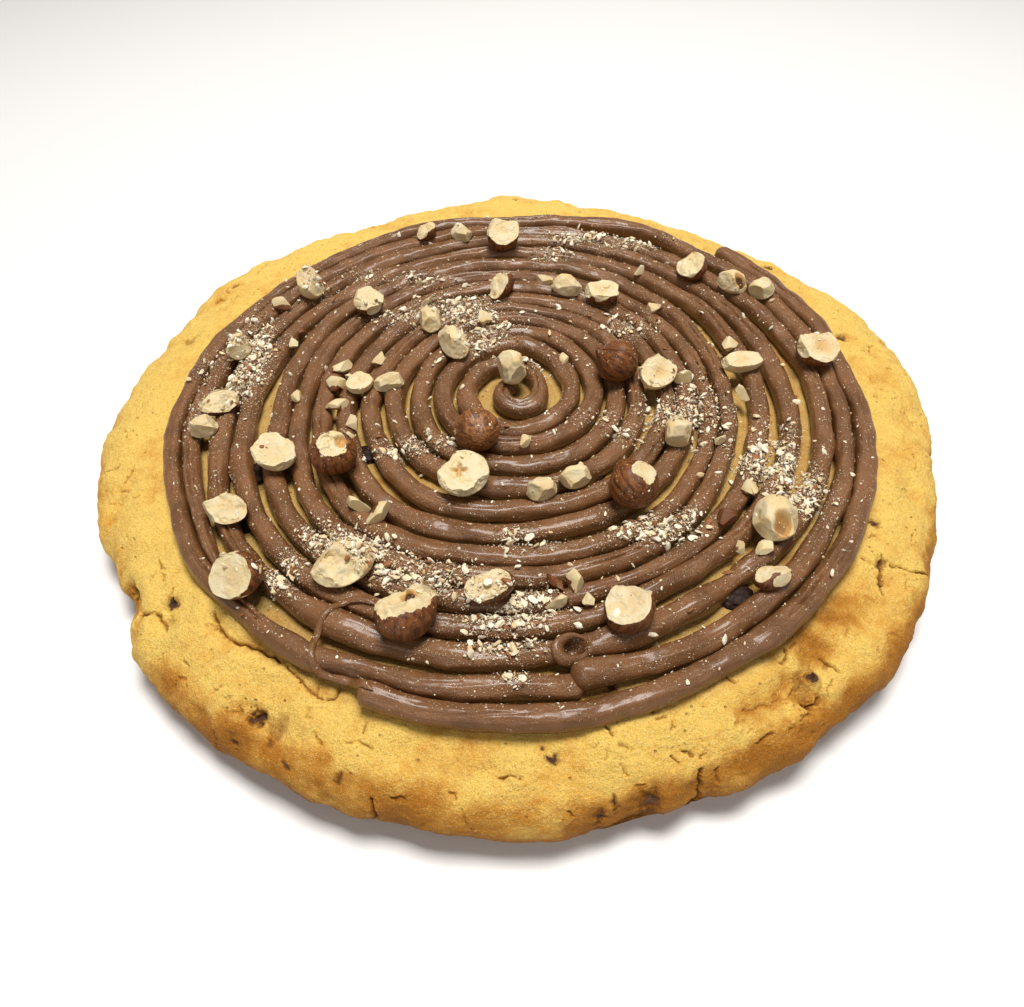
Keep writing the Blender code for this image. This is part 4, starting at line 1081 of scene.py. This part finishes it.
def shard(corners, seed, cuts=5):  # a broken crumb of unit size with flat faces
    deselectAll()
    if corners[1] < 3:
        bpy.ops.mesh.primitive_cylinder_add(vertices=corners[0], radius=1, depth=1.6)
    else:
        bpy.ops.mesh.primitive_uv_sphere_add(segments=corners[0], ring_count=corners[1], radius=1)
    item = bpy.context.object
    places = pointsOf(item.data)
    draw = random.Random(seed)
    places *= np.array([[draw.uniform(0.7, 1.1)] for _ in places])
    for _ in range(cuts):
        normal = np.array([draw.gauss(0, 1) for _ in range(3)])
        normal /= np.linalg.norm(normal)
        past = np.maximum(places @ normal - draw.uniform(0.35, 0.75), 0)
        places -= past[:, None] * normal
    setPoints(item.data, places)
    bpy.ops.object.mode_set(mode="EDIT")
    bpy.ops.mesh.select_all(action="SELECT")
    bpy.ops.mesh.convex_hull()
    bpy.ops.mesh.quads_convert_to_tris()
    bpy.ops.object.mode_set(mode="OBJECT")
    places = pointsOf(item.data)
    faces = np.array([face.vertices[:] for face in item.data.polygons])
    bpy.data.objects.remove(item, do_unlink=True)
    return places, faces


def joinGrains(name, grains, kinds, material, slot):  # each grain: kind, size, rotation, place, skin, shade
    points, faces, skin, shade, count = [], [], [], [], 0
    for kind, size, rotation, place, brown, pale in grains:
        ball, sides = kinds[kind]
        points.append((ball * size) @ np.array(rotation).T + place)
        faces.append(sides + count)
        skin.append(np.zeros(len(ball)) + brown)
        shade.append(np.full(len(ball), pale))
        count += len(ball)
    item = joined(name, points, faces)
    setAttributes(item, skin=np.concatenate(skin), shade=np.concatenate(shade))
    return finishPiece(item, material, slot, angle=25)


def treesOf(items):
    trees = []
    for item in items:
        mesh = item.data
        mesh.calc_loop_triangles()
        points = [vertex.co[:] for vertex in mesh.vertices]
        trees.append(BVHTree.FromPolygons(points, [triangle.vertices[:] for triangle in mesh.loop_triangles]))
    return trees


def landing(trees, x, y):  # the highest surface under a place, in mm, with its normal
    best = None
    for tree in trees:
        place, normal, _, _ = tree.ray_cast(Vector((x, y, 60)) * mm, Vector((0, 0, -1)))
        if place and (best is None or place.z > best[0].z):
            best = (place, normal)
    return best


def makeChips():
    kinds = [shard((20, 12), 700 + index, 9) for index in range(8)]
    grains = []
    draw = random.Random(4)
    for index, (x, y, length, width, turn) in enumerate(chopped["chips"]):
        height = cookie["thickness"] + spread["gap"] + 0.94 * spread["ropeHeight"] + 0.2 * width
        size = np.array((length / 1.8, width / 1.7, 0.50 * width))
        rotation = Euler((draw.uniform(-0.2, 0.2), draw.uniform(-0.2, 0.2), math.radians(turn))).to_matrix()
        side = np.array((math.cos(index * 2.4), math.sin(index * 2.4), -0.4))
        brown = np.clip((kinds[index % 8][0] @ side - 0.45) * 6, 0, 1)
        if index in chopped["brownChips"]:
            brown[:] = 1
        grains.append((index % 8, size, rotation, spreadCentre + (x, y, height), brown, draw.uniform(0, 0.2)))
    item = joinGrains("nut_chips", grains, kinds, hazelnut, "hazelnut_flesh")
    setAttributes(item, lengthwise=pointsOf(item.data) / mm * (0.9, 0.9, 0.2))


def scatter(name, trees, count, size, clustered, brown, corners, seed):
    draw = random.Random(seed)
    kinds = [shard(corners, 100 * seed + index) for index in range(8)]
    weights = [weight * reachX * reachY for _, _, reachX, reachY, weight in spread["heaps"]]
    grains = []
    while len(grains) < count:
        heaped = draw.random() < clustered
        if heaped:
            a, b, reachX, reachY, _ = draw.choices(spread["heaps"], weights)[0]
            x, y = a + draw.gauss(0, 0.75 * reachX), b + draw.gauss(0, 0.75 * reachY)
        else:
            reach, turn = chopped["evenReach"] * math.sqrt(draw.random()), draw.uniform(0, 2 * math.pi)
            x, y = reach * math.cos(turn), reach * math.sin(turn)
        if math.hypot(x, y) > chopped["farthest"]:
            continue
        found = landing(trees, x + spreadCentre[0], y + spreadCentre[1])
        steep = found is None or found[1].z < chopped["steepest"]
        low = found is not None and found[0].z < spread["feet"] * mm
        if steep or (low and draw.random() < chopped["inGaps"]):
            continue
        long = size[0] + (size[1] - size[0]) * draw.random() ** 2
        shape = np.array((long, long * draw.uniform(0.35, 0.8), long * draw.uniform(0.2, 0.5))) / 2
        tips = draw.gauss(0, chopped["tilt"]), draw.gauss(0, chopped["tilt"])
        leaning = Euler((*tips, draw.uniform(0, 6.28))).to_quaternion()
        rotation = (found[1].to_track_quat("Z", "Y") @ leaning).to_matrix()
        lift = draw.uniform(0, chopped["heapRise"]) if heaped else 0
        place = np.array(found[0]) / mm + np.array(found[1]) * (shape[2] * 0.5 + lift)
        skin = 1.0 if draw.random() < brown else 0.0
        grains.append((draw.randrange(8), shape, rotation, place, skin, draw.random() ** 2))
    joinGrains(name, grains, kinds, choppedNut, "hazelnut_flesh")


print("scattering chopped nut")
nutItems = [item for item in bpy.data.objects if item.name.startswith("hazelnut_")]
ropeTrees = treesOf([cookieCrust, *ropes])
thread = makeThread(ropeTrees)
makeLoop()
makeMeltedChipsAndShade()
trees = ropeTrees + treesOf([thread, *nutItems])
makeChips()
for name in ("bits", "crumbs", "dust", "flour"):
    scatter(f"nut_{name}", trees, **chopped[name])


# Floor, light and camera

studio = dict(
    floorSize=6.0, floorColour=(0.80, 0.79, 0.78), world=(1.0, 0.98, 0.95), worldStrength=0.12,
    # name, place, size, power, colour
    lights=(("key", (0.05, 0.15, 1.0), (0.45, 0.35), 13.8, (1.0, 0.975, 0.94)),
            ("front_fill", (-0.50, -0.95, 0.70), (0.9, 0.6), 3.4, (1.0, 0.985, 0.96)),
            ("side_fill", (0.95, -0.35, 0.60), (0.5, 0.5), 1.0, (1.0, 0.98, 0.96))),
    lens=25.49, elevation=51.04, roll=-1.37, aim=(-2.61, -47.18, 20.0), distance=200.42,
)


def makeFloor():
    deselectAll()
    bpy.ops.mesh.primitive_plane_add(size=studio["floorSize"], location=(0, 0, -0.2 * mm))
    floor = named("studio_floor")
    finish = Finish("pale_floor", Roughness=0.6)
    tone = finish.noise(finish.place(), 3.0)
    colour = finish.mix(tone * 0.1, studio["floorColour"], (0.76, 0.76, 0.76))
    floor.data.materials.append(finish.dress(Base_Color=colour))


def makeLights():
    world = bpy.data.worlds.new("studio")
    bpy.context.scene.world = world
    world.use_nodes = True
    background = world.node_tree.nodes["Background"]
    background.inputs["Color"].default_value = (*studio["world"], 1)
    background.inputs["Strength"].default_value = studio["worldStrength"]
    for name, place, size, power, colour in studio["lights"]:
        lamp = bpy.data.lights.new(name, "AREA")
        lamp.shape = "RECTANGLE"
        lamp.size, lamp.size_y = size
        lamp.energy = power
        lamp.color = colour
        item = bpy.data.objects.new(name, lamp)
        item.location = place
        item.rotation_euler = (-Vector(place)).to_track_quat("-Z", "Y").to_euler()
        bpy.context.scene.collection.objects.link(item)


def makeCamera():
    rise, roll = math.radians(studio["elevation"]), math.radians(studio["roll"])
    ahead = Vector((0, math.cos(rise), -math.sin(rise)))
    right = Vector((1, 0, 0))
    up = right.cross(ahead)
    across = right * math.cos(roll) + up * math.sin(roll)
    upward = -right * math.sin(roll) + up * math.cos(roll)
    lens = bpy.data.cameras.new("camera")
    lens.sensor_width = 36
    lens.lens = studio["lens"]
    lens.clip_start = 0.01
    camera = bpy.data.objects.new("camera", lens)
    turned = Matrix((across, upward, -ahead)).transposed().to_4x4()
    turned.translation = (Vector(studio["aim"]) - ahead * studio["distance"]) * mm
    camera.matrix_world = turned
    bpy.context.scene.collection.objects.link(camera)
    bpy.context.scene.camera = camera


print("setting up the studio")
makeFloor()
makeLights()
makeCamera()
bpy.context.scene.view_settings.view_transform = "Standard"
